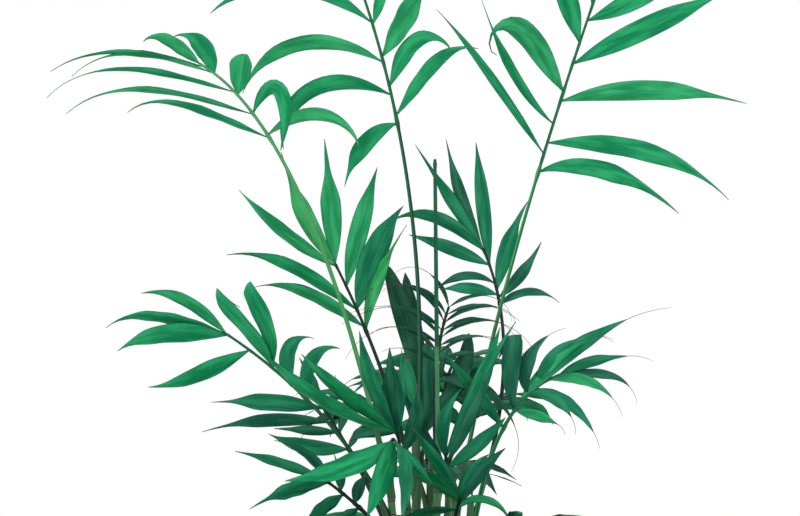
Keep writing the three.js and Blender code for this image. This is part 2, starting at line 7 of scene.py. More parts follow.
import bpy
import numpy as np
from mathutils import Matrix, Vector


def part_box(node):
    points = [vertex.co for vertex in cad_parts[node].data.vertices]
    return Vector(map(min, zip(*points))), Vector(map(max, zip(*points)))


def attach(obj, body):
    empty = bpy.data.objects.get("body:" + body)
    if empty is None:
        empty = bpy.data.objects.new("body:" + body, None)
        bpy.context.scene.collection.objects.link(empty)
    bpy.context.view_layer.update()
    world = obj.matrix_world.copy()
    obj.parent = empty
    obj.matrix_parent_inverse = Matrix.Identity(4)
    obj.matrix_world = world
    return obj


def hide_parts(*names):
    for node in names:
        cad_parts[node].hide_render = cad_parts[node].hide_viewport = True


bl_info = {
    "name": "Potted parlor palm",
    "version": (1, 0, 0),
    "blender": (4, 5, 0),
    "location": "3D View > Sidebar > Palm",
    "description": "Builds the pot, canes and fronds of a parlor palm",
    "category": "Add Mesh",
}

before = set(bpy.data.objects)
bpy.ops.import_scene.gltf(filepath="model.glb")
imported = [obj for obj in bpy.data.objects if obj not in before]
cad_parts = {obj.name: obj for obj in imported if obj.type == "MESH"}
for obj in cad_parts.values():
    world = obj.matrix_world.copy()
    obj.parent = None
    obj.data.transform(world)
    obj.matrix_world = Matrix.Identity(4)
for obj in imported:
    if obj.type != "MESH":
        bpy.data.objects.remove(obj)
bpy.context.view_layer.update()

MM = 0.001
UV_PER_METRE = 10  # a surface's UVs count decimetres
UV_PER_MM = UV_PER_METRE * MM
BODY = "root"
UP = np.array([0.0, 0.0, 1.0])
ACROSS = np.array([1.0, 0.0, 0.0])
SIDES = ("left", "right")

# Each cane runs from its foot on the soil to its top, and its radius tapers
SOIL_LEVEL = 138.3
CANE_RADII = (4.6, 3.6)
CANES = {
    "left": ([-31, 4], [-41, 6, 292]),
    "center_left": ([-12, 18], [-15, 22, 304]),
    "center": ([6, -4], [8, 4, 300]),
    "right": ([33, 2], [41, 2, 250]),
    "center_right": ([22, 20], [25, 24, 262]),
    "front_left": ([-18, -24], [-24, -32, 276]),
    "front_right": ([15, -28], [18, -36, 262]),
    "back": ([2, 40], [2, 50, 286]),
}

# What a leaflet's row gives, and what it is where the row stops early: where the leaflet
# sits on the stem, the angle at which it starts, the angle through which it bends, its
# length and width, how late it bends, its roll and lift, the fold by which its outer part
# turns back, and its sag. Angles are in degrees.
LEAFLET = {"at": 1, "start": 40, "bend": 30, "length": 80, "width": 14, "late": 1.2,
           "roll": 15, "lift": 12, "fold": 0, "sag": 0}


def side(*rows, **spreads):
    """One side of a frond: its leaflets' rows, from the lowest to the last, turned into a
    list for each column. A keyword gives a column by its ends alone."""
    usual = tuple(LEAFLET.values())
    columns = zip(*[row + usual[len(row):] for row in rows])
    return dict(zip(LEAFLET, map(list, columns)), **spreads)


# Each frond leaves its cane at a height, bends towards its knee and ends at its tip. Its
# face is turned from the front by turn, or looks the way that face gives.
FRONDS = [
    {
        "name": "tall_left", "cane": "center_left", "height": 297,
        "knee": [4, -20, 570], "tip": [-78, -50, 785], "turn": -28,
        "left": side(
            (0.648, 83, 73, 90, 16, 0.6), (0.708, 53, 126, 158, 17, 1.4),
            (0.778, 46, 100, 172, 16, 1.3), (0.864, 34, 82, 182, 16), (0.93, 26, 50, 144, 16),
            (1, 10, 25, 97, 13, 1)),
        "right": side(
            (0.664, 50, 62, 138, 14, 3), (0.726, 40, 121, 110, 17, 2.4),
            (0.79, 52, -4, 120, 21, 1), (0.86, 40, -12, 116, 17, 1),
            (0.93, 30, -10, 106, 16, 1), (1, 12, 0, 92, 13, 1)),
    },
    {
        "name": "tall_right", "cane": "center_right", "height": 250,
        "knee": [66, 40, 470], "tip": [180, 80, 790], "turn": 30,
        "left": side(
            (0.685, 63, 10, 212, 9, 3.1, 40), (0.738, 81, -35, 172, 9, 0.6, 40),
            (0.793, 60, 230, 160, 22, 4), (0.875, 40, 26, 118, 21, 1, 10),
            (0.935, 14, 38, 104, 15, 1), (0.99, 8, 10, 97, 14, 1)),
        "right": side(
            (0.653, 44, 69, 166, 18, 0.6), (0.705, 70, 46, 212, 19, 1.6),
            (0.777, 57, 28, 206, 19, 1), (0.84, 44, 4, 190, 21, 1),
            (0.912, 50, -22, 154, 20, 1), (1, 14, 0, 100, 15, 1)),
    },
    {
        "name": "arching_left", "cane": "left", "height": 286,
        "knee": [-122, -30, 625], "tip": [-228, -46, 685], "turn": -15,
        "left": side(
            (0.659, 35, 67, 150, 12, 4, 40), (0.741, 36, 61, 194, 12, 2.5, 48),
            (0.833, 30, 65, 196, 12, 2.5, 45), (0.931, 17, 68, 150, 10, 2.1, 45),
            (0.974, 18, 51, 158, 9, 2.1, 50)),
        "right": side(
            (0.67, 81, 123, 119, 12, 1.6), (0.744, 57, -42, 128, 15, 2.5, 15, 12, 0, 2.5),
            (0.82, 50, 0, 64, 22, 1, 15, 12, 160), (0.93, 36, -102, 63, 17, 2.2),
            (1, 11, -94, 66, 13, 3.5)),
    },
    {
        "name": "mid_left", "cane": "center_left", "height": 284,
        "knee": [-46, 16, 391], "tip": [-95, 16, 487], "turn": 10,
        "left": side(
            (0.675, 33, 52, 124, 13, 2.4, 30, 4), (0.762, 29, 48, 148, 13, 2.2, 30, 4),
            (0.987, 38, -21, 125, 14, 0.7, 35, 4), (1, 12, -24, 126, 17, 0.8, 15, -4)),
        "right": side(
            (0.657, 21, 36, 116, 14, 0.6, 30), (0.766, 40, 26, 115, 23, 2.2, 0),
            (0.882, 35, 8, 124, 19, 0.6), (1, 23, -2, 126, 20, 1.3, 0)),
    },
    {
        "name": "low_left", "cane": "left", "height": 236,
        "knee": [-92, -40, 345], "tip": [-200, -70, 418], "turn": -10,
        "left": side(
            (0.895, 61, -24, 108, 18, 3.2), (0.994, 28, 42, 114, 18, 2.2),
            (1, 17, 60, 124, 13, 3.3, 25, 0), (1, -11, 57, 99, 12, 2)),
        "right": side(
            (0.61, 46, 110, 76, 14, 2.5), (0.684, 31, 130, 70, 15, 2.2),
            (0.772, 29, -33, 146, 17, 0.6, 30, 24, 150),
            (0.785, 58, -53, 133, 18, 0.6, 30, 8, 160)),
    },
    {
        "name": "dark_left", "cane": "left", "height": 214,
        "knee": [-72, 50, 290], "tip": [-110, 80, 342], "turn": 15,
        "left": side(
            (0.622, 72, -33, 84, 15, 1.2, 30), (0.758, 61, 4, 67, 9, 1.2, 30),
            (0.848, 58, 27, 137, 12, 1.2, 30), (0.982, 53, 14, 115, 18, 1.2, 10)),
        "right": side(
            (0.62, 50, 30, 40, 11, 1.2, 30), (0.75, 40, 20, 44, 11, 1.2, 30),
            (0.86, 35, 0, 50, 11, 1.2, 30), (1, 14, -10, 60, 11, 1.2, 30)),
    },
    {
        "name": "lowest_left", "cane": "front_left", "height": 196,
        "knee": [-62, -50, 246], "tip": [-113, -80, 282], "turn": -20,
        "left": side(
            (0.55, 76, 16, 44, 14, 1.2, 10), (0.717, 72, 12, 52, 17, 1.2, 10),
            (0.868, 40, 31, 84, 18, 1.2, 10), (0.915, 11, 12, 99, 11, 1.2, 10)),
        "right": side(
            (0.6, 50, 20, 40, 11, 1.2, 20), (0.75, 46, -20, 50, 11, 1.2, 20),
            (0.88, 30, -62, 78, 11, 1.2, 20)),
    },
    {
        "name": "mid_right", "cane": "right", "height": 236,
        "knee": [100, 40, 400], "tip": [54, 60, 503], "turn": 20,
        "left": side(
            (0.783, 65, 30, 69, 11, 0.9), (0.831, 40, 85, 81, 8, 0.7),
            (0.918, 62, 11, 109, 13, 1.3, 25), (0.985, 26, 79, 113, 13, 1.6, 30),
            (0.99, 11, 0, 128, 11, 1.3, 30), (1, 4, -19, 121, 12, 0.8, 30)),
        "right": side(
            (0.74, 56, 88, 68, 10, 1.2, 30), (0.773, 65, -27, 74, 11, 0.6),
            (0.804, 24, 19, 99, 16, 1.5), (0.918, 13, 0, 129, 14, 1.3, 20)),
    },
    {
        "name": "feathered", "cane": "center", "height": 292,
        "knee": [0, 30, 390], "tip": [19, 30, 443],
        "left": side(
            (0.56, 60, 40, 46, 0), (0.62, 40, 74, 66, 0), (0.69, 62, 44, 58, 0),
            (0.74, 44, 70, 74, 0), (0.8, 56, 48, 60, 0), (0.87, 38, 66, 68, 0),
            (0.93, 44, 54, 52, 0), (1, 30, 50, 46, 0), width=[6, 5], roll=[45, 30]),
        "right": side(
            (0.45, 86, 71, 102, 13), (0.56, 54, 40, 44, 6, 1.2, 40),
            (0.62, 40, 56, 58, 5, 1.2, 40), (0.68, 52, 44, 50, 6, 1.2, 40),
            (0.74, 38, 60, 64, 5, 1.2, 40), (0.8, 46, 50, 58, 6, 1.2, 40),
            (0.86, 34, 64, 66, 6, 1.2, 40), (0.93, 42, 52, 54, 5, 1.2, 40),
            (1, 32, 56, 48, 5, 1.2, 40)),
    },
    {
        "name": "low_right", "cane": "right", "height": 208,
        "knee": [60, -20, 359], "tip": [138, 20, 378], "turn": 15,
        "left": side(
            (0.484, 77, 3, 141, 13, 1.2, 15, 36), (0.596, 63, -47, 115, 17, 0.6, 15, 12, 150),
            (0.717, 91, -102, 70, 14, 0.7), (0.779, 53, -77, 84, 14, 0.6)),
        "right": side(
            (0.593, 63, 20, 46, 11, 1.4), (0.629, -10, 37, 102, 10, 1, 25, 24),
            (0.658, -12, 36, 140, 15, 0.6), (0.711, 10, 96, 54, 11, 0.6),
            (0.77, 46, 54, 76, 12, 0.9), (0.866, 14, 65, 74, 11, 1.3),
            (0.943, -14, 30, 82, 11, 0.6), (1, 14, 48, 77, 9, 3.5, 15, -4)),
    },
    {
        "name": "broad_center", "cane": "center_left", "height": 272,
        "knee": [-6, 14, 306], "tip": [-4, 26, 330],
        "left": side(
            (0.766, -2, 11, 94, 20, 0.7, 10, 24), (0.903, 40, -28, 74, 13, 0.6, 20, 24),
            (0.97, 11, 1, 168, 17, 1.1, 5, -6), (1, 6, 20, 177, 20, 0.6)),
        "right": side(
            (0.7, 23, 15, 82, 16, 1.2, 30), (0.85, 39, -43, 111, 18, 1.2, 20),
            (1, 9, 7, 84, 13, 1.2, 40)),
    },
    {
        "name": "near_left", "cane": "front_left", "height": 262,
        "knee": [-27, -58, 296], "tip": [-33, -84, 322],
        "left": side(
            (0.94, 13, -16, 155, 15, 1, 30), (0.98, -3, -6, 117, 18, 1, 5),
            (0.99, 29, -7, 168, 16, 1, 10), (1, 49, -27, 200, 20, 0.6, 20)),
        "right": side(
            (0.6, 30, -30, 96, 15, 1.2, 30), (0.92, 12, -2, 116, 9, 1.2, 15, -6)),
    },
    {
        "name": "front_drop", "cane": "front_left", "height": 226,
        "knee": [-30, -100, 332], "tip": [-39, -118, 314], "face": [0, -0.8, 0.6],
        "left": side(
            (0.86, 44, -47, 111, 18, 1.2, 15, 12, 0, 2),
            (0.97, 62, 20, 64, 12, 1.2, 15, 12, 0, 1)),
        "right": side(
            (0.9, -21, 59, 97, 19, 1.2, 15, 12, 0, 2),
            (0.96, 13, 79, 125, 23, 1.2, 15, 12, 0, 0.6)),
    },
    {
        "name": "near_right", "cane": "front_right", "height": 252,
        "knee": [16, -56, 282], "tip": [15, -62, 302],
        "left": side(
            (0.7, 34, -20, 96, 14, 1.2, 40), (0.84, 14, -66, 78, 12, 1.2, 20, 20)),
        "right": side(
            (0.62, 52, -12, 84, 13, 1.2, 30), (0.74, 30, -11, 105, 11, 1.2, 30),
            (0.86, 23, 12, 156, 11, 1.2, 25, -4), (1, 36, -17, 137, 15, 0.7, 10, -10)),
    },
    {
        "name": "front_low", "cane": "front_right", "height": 214,
        "knee": [24, -62, 236], "tip": [29, -74, 258],
        "left": side(
            (0.7, 84, 46, 70, 17, 1.2, 20, 24), (0.9, 47, 15, 107, 22, 1.2, 20, 20),
            (1, 39, 5, 93, 14, 1.2, 5, 8)),
        "right": side(
            (0.7, 15, 143, 72, 8), (0.84, 12, 20, 88, 14, 1.2, 30), (0.96, -4, 46, 65, 9)),
    },
]

# Fronds that fill the crown's back and front: the way they lean in degrees from +X, how
# far out and how high the tip lies, where they leave the cane, and their leaflets' length
RISING = [
    (97, 190, 368, 262, 90), (124, 150, 340, 246, 88), (52, 138, 350, 244, 84),
    (72, 108, 388, 280, 78), (84, 236, 272, 222, 100), (290, 190, 220, 194, 92),
    (262, 214, 216, 200, 96), (236, 186, 222, 190, 92),
]

RISING_ARCH = 0.1  # the knee's height over the tip, as a share of the reach

# Fronds that droop over the pot's rim, in a ring
SKIRT_COUNT = 12
SKIRT_REACH = 200
SKIRT_TOP = 196
SKIRT_ARCH = 40  # the knee's height over the tip
SKIRT_HEIGHTS = [164, 182, 173]
SKIRT_LEAFLET = 96

# What the rising and the drooping fronds share
FILL_SIDE = dict(LEAFLET, at=[0.42, 1], bend=-8, width=[14, 18, 19, 17, 14], lift=14, sag=0.85)
FILL_START = np.array([66, 56, 48, 36, 14])
FILL_PAIRS = len(FILL_START)
FILL_LENGTH = np.array([0.78, 1, 1.05, 0.98, 0.84])  # shares of the leaflets' length
FILL_FACE_LEAN = 0.4  # how far a face leans back from straight up
FILL_KNEE_REACH = 0.42  # share of the tip's

# Swings that make the ring and the pairs uneven: the size and the rate of a sine
SKIRT_TURN_SWING = (7, 2.4)
SKIRT_REACH_SWING = (0.14, 1.7)
SKIRT_TOP_SWING = (10, 1.9)
FILL_START_SWING = (9, 2.7)
FILL_LENGTH_SWING = (0.14, 4.1)

# The rule by which leaflets and stems run, the same as the solids'
SWINGS = [0, 16, -16, 32, -32, 48, -48]  # angles by which a leaflet may leave the plane
SOLID_STEPS = 12
FOLD_PLACE = 0.68  # share of the leaflet
FOLD_SHARPNESS = 22
STEM_FOOT_REACH = 1.7  # from the cane's surface to the stem's middle line

# Leaf colours, as screen values from 0 to 255. They differ partly in hue, which is the leaves'
# own, and partly in lightness, which is painted light and painted shade: bright stands for
# leaves out in the light, and deep and dark stand for leaves in shade inside and low in the
# crown.
SHADES = {
    "bright": (12, 134, 84),
    "fresh": (30, 142, 88),
    "yellow": (42, 145, 82),
    "mid": (14, 116, 80),
    "blue": (18, 108, 84),
    "deep": (18, 94, 72),
    "dark": (22, 82, 62),
}

# The shades of each frond's leaflets, dealt out in turn: those on the left from the lowest to
# the last, then those on the right. The filling fronds draw theirs by chance. The darker ones
# go, as painted shade, to fronds inside and low in the crown.
FROND_SHADES = {name: shades.split() for name, shades in {
    "tall_left": "bright bright fresh",
    "tall_right": "bright bright fresh",
    "arching_left": "bright fresh",
    "mid_left": "fresh bright fresh yellow yellow mid fresh fresh",
    "low_left": "bright bright bright fresh mid mid bright bright",
    "dark_left": "mid deep deep mid deep deep deep deep",
    "lowest_left": "mid mid mid mid deep deep deep",
    "mid_right": "mid deep mid mid mid deep deep deep mid mid",
    "feathered": "dark",
    "low_right": "mid deep deep mid fresh fresh mid mid mid fresh mid deep",
    "broad_center": "deep mid dark dark deep dark deep",
    "near_left": "mid deep bright bright deep mid",
    "front_drop": "mid mid bright bright",
    "near_right": "deep mid mid deep mid bright",
    "front_low": "mid bright mid fresh deep mid",
    "rising": "mid blue bright deep",
    "skirt": "mid blue bright fresh",
}.items()}

# Stem colours, and the ones that a frond's petiole and its rachis take
STEM_COLOURS = {"pale": (64, 140, 84), "green": (20, 92, 58), "dark": (20, 46, 36)}
STEM_SHADES = {
    "arching_left": ("pale", "pale"),
    "tall_right": ("pale", "green"),
    "tall_left": ("dark", "green"),
    "low_left": ("dark", "green"),
    "low_right": ("pale", "green"),
    "skirt": ("green", "green"),
}


def linear(colour):
    """A screen colour from 0 to 255 as a linear colour with full alpha."""
    value = np.asarray(colour, float) / 255
    value = np.where(value <= 0.04045, value / 12.92, ((value + 0.055) / 1.055) ** 2.4)
    return (*value.tolist(), 1.0)


def unit(vectors):
    """Vectors along the last axis, each divided by its length."""
    return vectors / np.maximum(np.linalg.norm(vectors, axis=-1, keepdims=True), 1e-12)


def spread(values, count):
    """A short list read evenly at count places; a single value is the same at all."""
    if not isinstance(values, (list, tuple)):
        return np.full(count, float(values))
    places = np.linspace(0, 1, count) * (len(values) - 1)
    return np.interp(places, np.arange(len(values)), values)


def smooth_step(share):
    """An S-shaped step from 0 to 1: 3 share² − 2 share³."""
    return share ** 2 * (3 - 2 * share)


def bell(distance, width):
    """A bell curve: e to the power −(distance ÷ width)²."""
    return np.exp(-(distance / width) ** 2)


def round_angles(ring):
    """Angles evenly round a circle, from 0."""
    return 2 * np.pi * np.arange(ring) / ring


# Settings

def number_setting(name, description, default, **options):
    """A number that a user would change. The three below make lengths, colours and counts."""
    return bpy.props.FloatProperty(
        name=name, description=description, default=default, **options)


def length_setting(name, description, default):
    return number_setting(name, description, default, unit="LENGTH")


def colour_setting(name, description, default):
    return bpy.props.FloatVectorProperty(
        name=name, description=description, subtype="COLOR", size=4, default=default)


def count_setting(name, description, default):
    return bpy.props.IntProperty(name=name, description=description, default=default)


class PalmPotSettings(bpy.types.PropertyGroup):
    """Sizes and colours of the pot and the soil."""

    height: length_setting("Height", "Height of the pot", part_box("pot")[1].z)
    base_radius: length_setting("Base radius", "Radius of the underside", 0.064)
    body_radius: length_setting(
        "Body radius", "Radius of the body just under the rim", 0.084)
    rim_radius: length_setting("Rim radius", "Radius of the rim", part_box("pot")[1].x)
    rim_height: length_setting("Rim height", "Height of the rim's band", 0.030)
    wall: length_setting("Wall", "Thickness of the pot's wall", 0.006)
    floor: length_setting("Floor", "Thickness of the pot's floor", 0.009)
    clay: colour_setting("Clay", "Colour of the fired clay", linear((176, 98, 66)))
    bloom: colour_setting(
        "Bloom", "Colour of the pale bloom on the clay", linear((205, 160, 134)))
    soil: colour_setting("Soil", "Colour of the potting soil", linear((58, 44, 34)))
    crumbs: count_setting("Crumbs", "Number of loose crumbs on the soil", 420)


class PalmCaneSettings(bpy.types.PropertyGroup):
    """Sizes and colours of the canes and of the fronds' stems."""

    foot_radius: length_setting("Foot radius", "Radius of a cane at the soil", 0.0046)
    top_radius: length_setting("Top radius", "Radius of a cane at its top", 0.0036)
    ring_spacing: length_setting("Ring spacing", "Distance between two leaf scars", 0.021)
    petiole_radius: length_setting(
        "Petiole radius", "Radius of a frond's stem at its foot", 0.0026)
    rachis_radius: length_setting(
        "Rachis radius", "Radius of a frond's stem at its tip", 0.0013)
    green: colour_setting("Green", "Colour of a cane between its rings", linear((64, 120, 78)))
    scar: colour_setting("Scar", "Colour of the leaf scars", linear((88, 68, 48)))
    joint_swelling: number_setting(
        "Joint swelling", "Share by which a stem thickens at a leaflet", 0.3)


class PalmLeafSettings(bpy.types.PropertyGroup):
    """Sizes and colours of the leaflets and the fine strands."""

    rows: count_setting("Rows", "Rows of faces along a leaflet", 18)
    fill_rows: count_setting(
        "Fill rows", "Rows of faces along a leaflet of the filling fronds", 9)
    fullness: number_setting(
        "Fullness", "Width of a blade, as a share of its solid's width", 1.1)
    thickness: length_setting("Thickness", "Thickness of a blade at its rib", 0.0006)
    margin: length_setting("Margin", "Width of the darker margin of a blade", 0.00035)
    thread: length_setting("Thread", "Length of the dry thread at a leaflet's tip", 0.005)
    twist: number_setting(
        "Twist", "How far a blade may twist towards its tip", 0.45, subtype="ANGLE")
    margin_colour: colour_setting(
        "Margin colour", "Colour of the blades' margins", linear((20, 66, 48)))
    strand_radius: length_setting("Strand radius", "Radius of the fine dry strands", 0.00032)
    thread_colour: colour_setting(
        "Thread colour", "Colour of the dry tips", linear((72, 80, 60)))
    strand_colour: colour_setting(
        "Strand colour", "Colour of the fine dry strands", linear((78, 58, 54)))


class PalmStageSettings(bpy.types.PropertyGroup):
    """The floor, the lights and the camera."""

    floor_radius: length_setting("Floor radius", "Radius of the round floor", 3.0)
    floor_colour: colour_setting("Floor colour", "Colour of the floor", (0.86, 0.86, 0.85, 1.0))
    sky_strength: number_setting("Sky strength", "Strength of the even light all round", 1.0)
    key_power: number_setting(
        "Key power", "Power of the large light in front", 46.0, unit="POWER")
    fill_power: number_setting(
        "Fill power", "Power of the light at the side", 12.0, unit="POWER")
    distance: length_setting("Distance", "Distance of the camera from the canes", 4.0)
    lens: number_setting("Lens", "Focal length in millimetres on a 36 mm sensor", 180.0)


# Meshes

def grid_faces(rows, ring):
    """Quads between rows of a closed ring: each joins two neighbours in a row to the
    two above them."""
    row = np.arange(rows - 1)[:, None] * ring
    point = np.arange(ring)[None, :]
    after = (point + 1) % ring
    quads = np.stack([row + point, row + after, row + ring + after, row + ring + point], -1)
    return quads.reshape(-1, 4)


def shells(points, marks=None, uv=None):
    """Closed shells from an array shell × row × ring × 3, as vertices, face corners, face
    sizes, slot numbers and UVs. The first and last ring of each shell are closed by a cap.
    marks, shell × row − 1 × ring, gives the material slot of each quad."""
    count, rows, ring, _ = points.shape
    starts = np.arange(count)[:, None, None] * rows * ring
    quads = (grid_faces(rows, ring)[None] + starts).reshape(-1, 4)
    low = np.arange(ring)[::-1][None] + starts[:, :, 0]
    high = np.arange(ring)[None] + (rows - 1) * ring + starts[:, :, 0]
    loops = np.concatenate([quads.ravel(), low.ravel(), high.ravel()])
    sizes = np.concatenate([np.full(len(quads), 4), np.full(2 * count, ring)])
    if marks is None:
        marks = np.zeros((count, rows - 1, ring), int)
    slots = np.concatenate([marks.reshape(-1), marks[:, 0, 0], marks[:, -1, 0]])
    if uv is None:
        uv = np.zeros((count, rows, ring, 2))
    return {"points": points.reshape(-1, 3), "loops": loops, "sizes": sizes, "slots": slots,
            "uv": uv.reshape(-1, 2)}


def joined(parts):
    """Several meshes as one, with the corners counted on from mesh to mesh."""
    offset = np.cumsum([0] + [len(part["points"]) for part in parts])
    made = {key: np.concatenate([part[key] for part in parts])
            for key in ("points", "sizes", "slots", "uv")}
    made["loops"] = np.concatenate(
        [part["loops"] + start for part, start in zip(parts, offset)])
    return made


def piece(name, shape, materials, nodes):
    """Puts a shape, in metres, into a mesh object that rides on the plant's body and
    stands for CAD nodes."""
    sizes = shape["sizes"]
    mesh = bpy.data.meshes.new(name)
    mesh.vertices.add(len(shape["points"]))
    mesh.vertices.foreach_set("co", shape["points"].astype(np.float32).ravel())
    mesh.loops.add(len(shape["loops"]))
    mesh.loops.foreach_set("vertex_index", shape["loops"].astype(np.int32))
    mesh.polygons.add(len(sizes))
    starts = np.concatenate([[0], np.cumsum(sizes)[:-1]])
    for key, values in (("loop_start", starts), ("loop_total", sizes),
                        ("material_index", shape["slots"])):
        mesh.polygons.foreach_set(key, values.astype(np.int32))
    mesh.polygons.foreach_set("use_smooth", np.full(len(sizes), True))
    mesh.update(calc_edges=True)
    layer = mesh.uv_layers.new(name="surface")
    layer.data.foreach_set("uv", shape["uv"][shape["loops"]].astype(np.float32).ravel())
    if "value" in shape:
        attribute = mesh.attributes.new("mark", "FLOAT", "POINT")
        attribute.data.foreach_set("value", shape["value"].astype(np.float32))
    if mesh.validate():
        raise RuntimeError(f"{name} has faces that are not sound")
    for material in materials:
        mesh.materials.append(material)
    made = bpy.data.objects.new(name, mesh)
    bpy.context.scene.collection.objects.link(made)
    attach(made, BODY)
    if nodes:
        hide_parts(*nodes)


def tube(points, radii, ring, side_way):
    """A round limb: at each point of the line a circle square to it, whose first point lies
    as near to side_way as can be. radii is one number per point, or one per point and
    angle."""
    along = unit(np.gradient(points, axis=-2))
    first = unit(side_way - along * np.sum(side_way * along, -1, keepdims=True))
    second = np.cross(along, first)
    angle = round_angles(ring)
    radii = np.broadcast_to(radii if np.ndim(radii) == 2 else np.asarray(radii)[:, None],
                            (len(points), ring))
    circle = (first[:, None] * np.cos(angle)[None, :, None]
              + second[:, None] * np.sin(angle)[None, :, None])
    return points[:, None] + circle * radii[..., None]


def run_length(points):
    """Distance along a line from its start to each point."""
    steps = np.linalg.norm(np.diff(points, axis=0), axis=1)
    return np.concatenate([[0.0], np.cumsum(steps)])


def tube_shell(points, radii, ring, side_way, marks=None):
    """A closed tube. Its UVs give across it the share of the way round, and along it the
    distance in decimetres. marks gives the slot of the quads of each row, or of each quad."""
    along = run_length(points) * UV_PER_METRE
    around = np.arange(ring) / ring
    uv = np.stack(np.broadcast_arrays(around[None, :], along[:, None]), -1)
    if marks is not None:
        marks = np.broadcast_to(np.reshape(marks, (len(points) - 1, -1)),
                                (len(points) - 1, ring))[None]
    return shells(tube(points, radii, ring, side_way)[None], marks, uv[None])


# Materials

# Screen colours that no setting gives
GRAIN_COLOUR = (168, 150, 126)
CANE_PATCH_COLOUR = (68, 98, 64)
FIBRE_COLOUR = (60, 94, 60)

# The tones of a blade: its colour times a factor, and what is added to the lighter one. The
# darker and lighter tones follow the veins, which are the blade's own, and soft cloudy patches,
# which are painted shade and painted light.
LEAF_DARK_AND_SHADED = 0.72
LEAF_PALE_AND_LIT = 1.24
LEAF_PALE_AND_LIT_HAZE = [0.016, 0.014, 0.01]


class Channel:
    """One value of a shader. Sums and products of channels and numbers add Math nodes."""

    def __init__(self, finish, socket):
        self.finish = finish
        self.socket = socket

    def maths(self, operation, *values):
        return self.finish.node("ShaderNodeMath", {"operation": operation}, values)

    def __add__(self, other):
        return self.maths("ADD", self, other)

    def __mul__(self, other):
        return self.maths("MULTIPLY", self, other)

    __radd__ = __add__
    __rmul__ = __mul__


class Finish:
    """A material that is built up node by node on one shader."""

    def __init__(self, name, **constants):
        self.material = bpy.data.materials.new(name)
        self.material.use_nodes = True
        self.tree = self.material.node_tree
        self.shader = self.tree.nodes["Principled BSDF"]
        for key, value in constants.items():
            self.shader.inputs[key.replace("_", " ")].default_value = value

    def node(self, kind, settings=(), inputs=(), output=0):
        """Adds a node: its settings first, then the values or links of its sockets. The
        setting stops gives a ramp's two places and heights."""
        made = self.tree.nodes.new(kind)
        for key, value in dict(settings).items():
            if key == "stops":
                for element, (place, height) in zip(made.color_ramp.elements, value):
                    element.position = place
                    element.color = (height, height, height, 1.0)
            else:
                setattr(made, key, value)
        pairs = inputs.items() if isinstance(inputs, dict) else enumerate(inputs)
        for key, value in pairs:
            if isinstance(value, Channel):
                self.tree.links.new(value.socket, made.inputs[key])
            else:
                made.inputs[key].default_value = value
        return Channel(self, made.outputs[output])

    def mix(self, factor, first, second):
        """A colour between two colours."""
        return self.node("ShaderNodeMix", {"data_type": "RGBA"},
                         {0: factor, 6: first, 7: second}, output=2)

    def blend(self, value, low, high, first, second, most=1.0):
        """The first colour where a value is at most low. From there up to high it goes over
        to the second, of which there is most at the end."""
        stops = ((low, 0.0), (high, most))
        share = self.node("ShaderNodeValToRGB", {"stops": stops}, [value])
        return self.mix(share, first, second)

    def place(self, scale=(1, 1, 1), surface=False):
        """Object coordinates, or the piece's own UV map, stretched by scale."""
        if surface:
            source = self.node("ShaderNodeUVMap", {"uv_map": "surface"})
        else:
            source = self.node("ShaderNodeTexCoord", output=3)
        return self.node("ShaderNodeMapping", {}, {"Vector": source, "Scale": scale})

    def noise(self, place, scale, detail=3.0, roughness=0.5):
        """Noise from 0 to 1: its scale, how many finer layers it has, and their strength."""
        return self.node("ShaderNodeTexNoise", {}, {
            "Vector": place, "Scale": scale, "Detail": detail, "Roughness": roughness})

    def feed(self, socket, value):
        """Links a value to a socket of the shader."""
        self.tree.links.new(value.socket, self.shader.inputs[socket])

    def bump(self, height, distance):
        """Relief of a height from 0 to 1, in metres of distance."""
        self.feed("Normal", self.node("ShaderNodeBump", {}, {
            "Height": height, "Distance": distance, "Strength": 1.0}))


def scaled(colour, factor):
    """A colour made darker or lighter by a factor."""
    return (*[channel * factor for channel in colour[:3]], 1.0)


def clay_finish(settings):
    """Fired clay: speckled orange brown, with a pale bloom in soft patches and fine
    turning marks round the wall."""
    finish = Finish("fired_clay", Roughness=0.86, Specular_IOR_Level=0.25)
    place = finish.place()
    patches = finish.noise(place, 16.0, 5.0, 0.6)
    specks = finish.noise(place, 420.0, 2.0)
    rings = finish.noise(finish.place((4, 4, 260)), 1.0, 2.0)
    worn = finish.blend(patches, 0.42, 0.72,
                        tuple(settings.clay), tuple(settings.bloom), most=0.75)
    finish.feed("Base Color", finish.blend(
        specks, 0.5, 0.75, worn, scaled(settings.clay, 0.6), most=0.4))
    finish.bump(patches * 0.4 + specks * 0.3 + rings * 0.5, 0.0007)
    return finish.material


def soil_finish(settings):
    """Potting soil: dark crumbs with lighter fibres and a few pale grains."""
    finish = Finish("potting_soil", Roughness=0.95, Specular_IOR_Level=0.15)
    place = finish.place()
    crumbs = finish.noise(place, 210.0, 6.0, 0.7)
    grains = finish.noise(place, 640.0, 1.0)
    ground = finish.blend(crumbs, 0.38, 0.68,
                          scaled(settings.soil, 0.45), scaled(settings.soil, 1.7))
    finish.feed("Base Color", finish.blend(
        grains, 0.7, 0.76, ground, linear(GRAIN_COLOUR), most=0.8))
    finish.bump(crumbs, 0.002)
    return finish.material


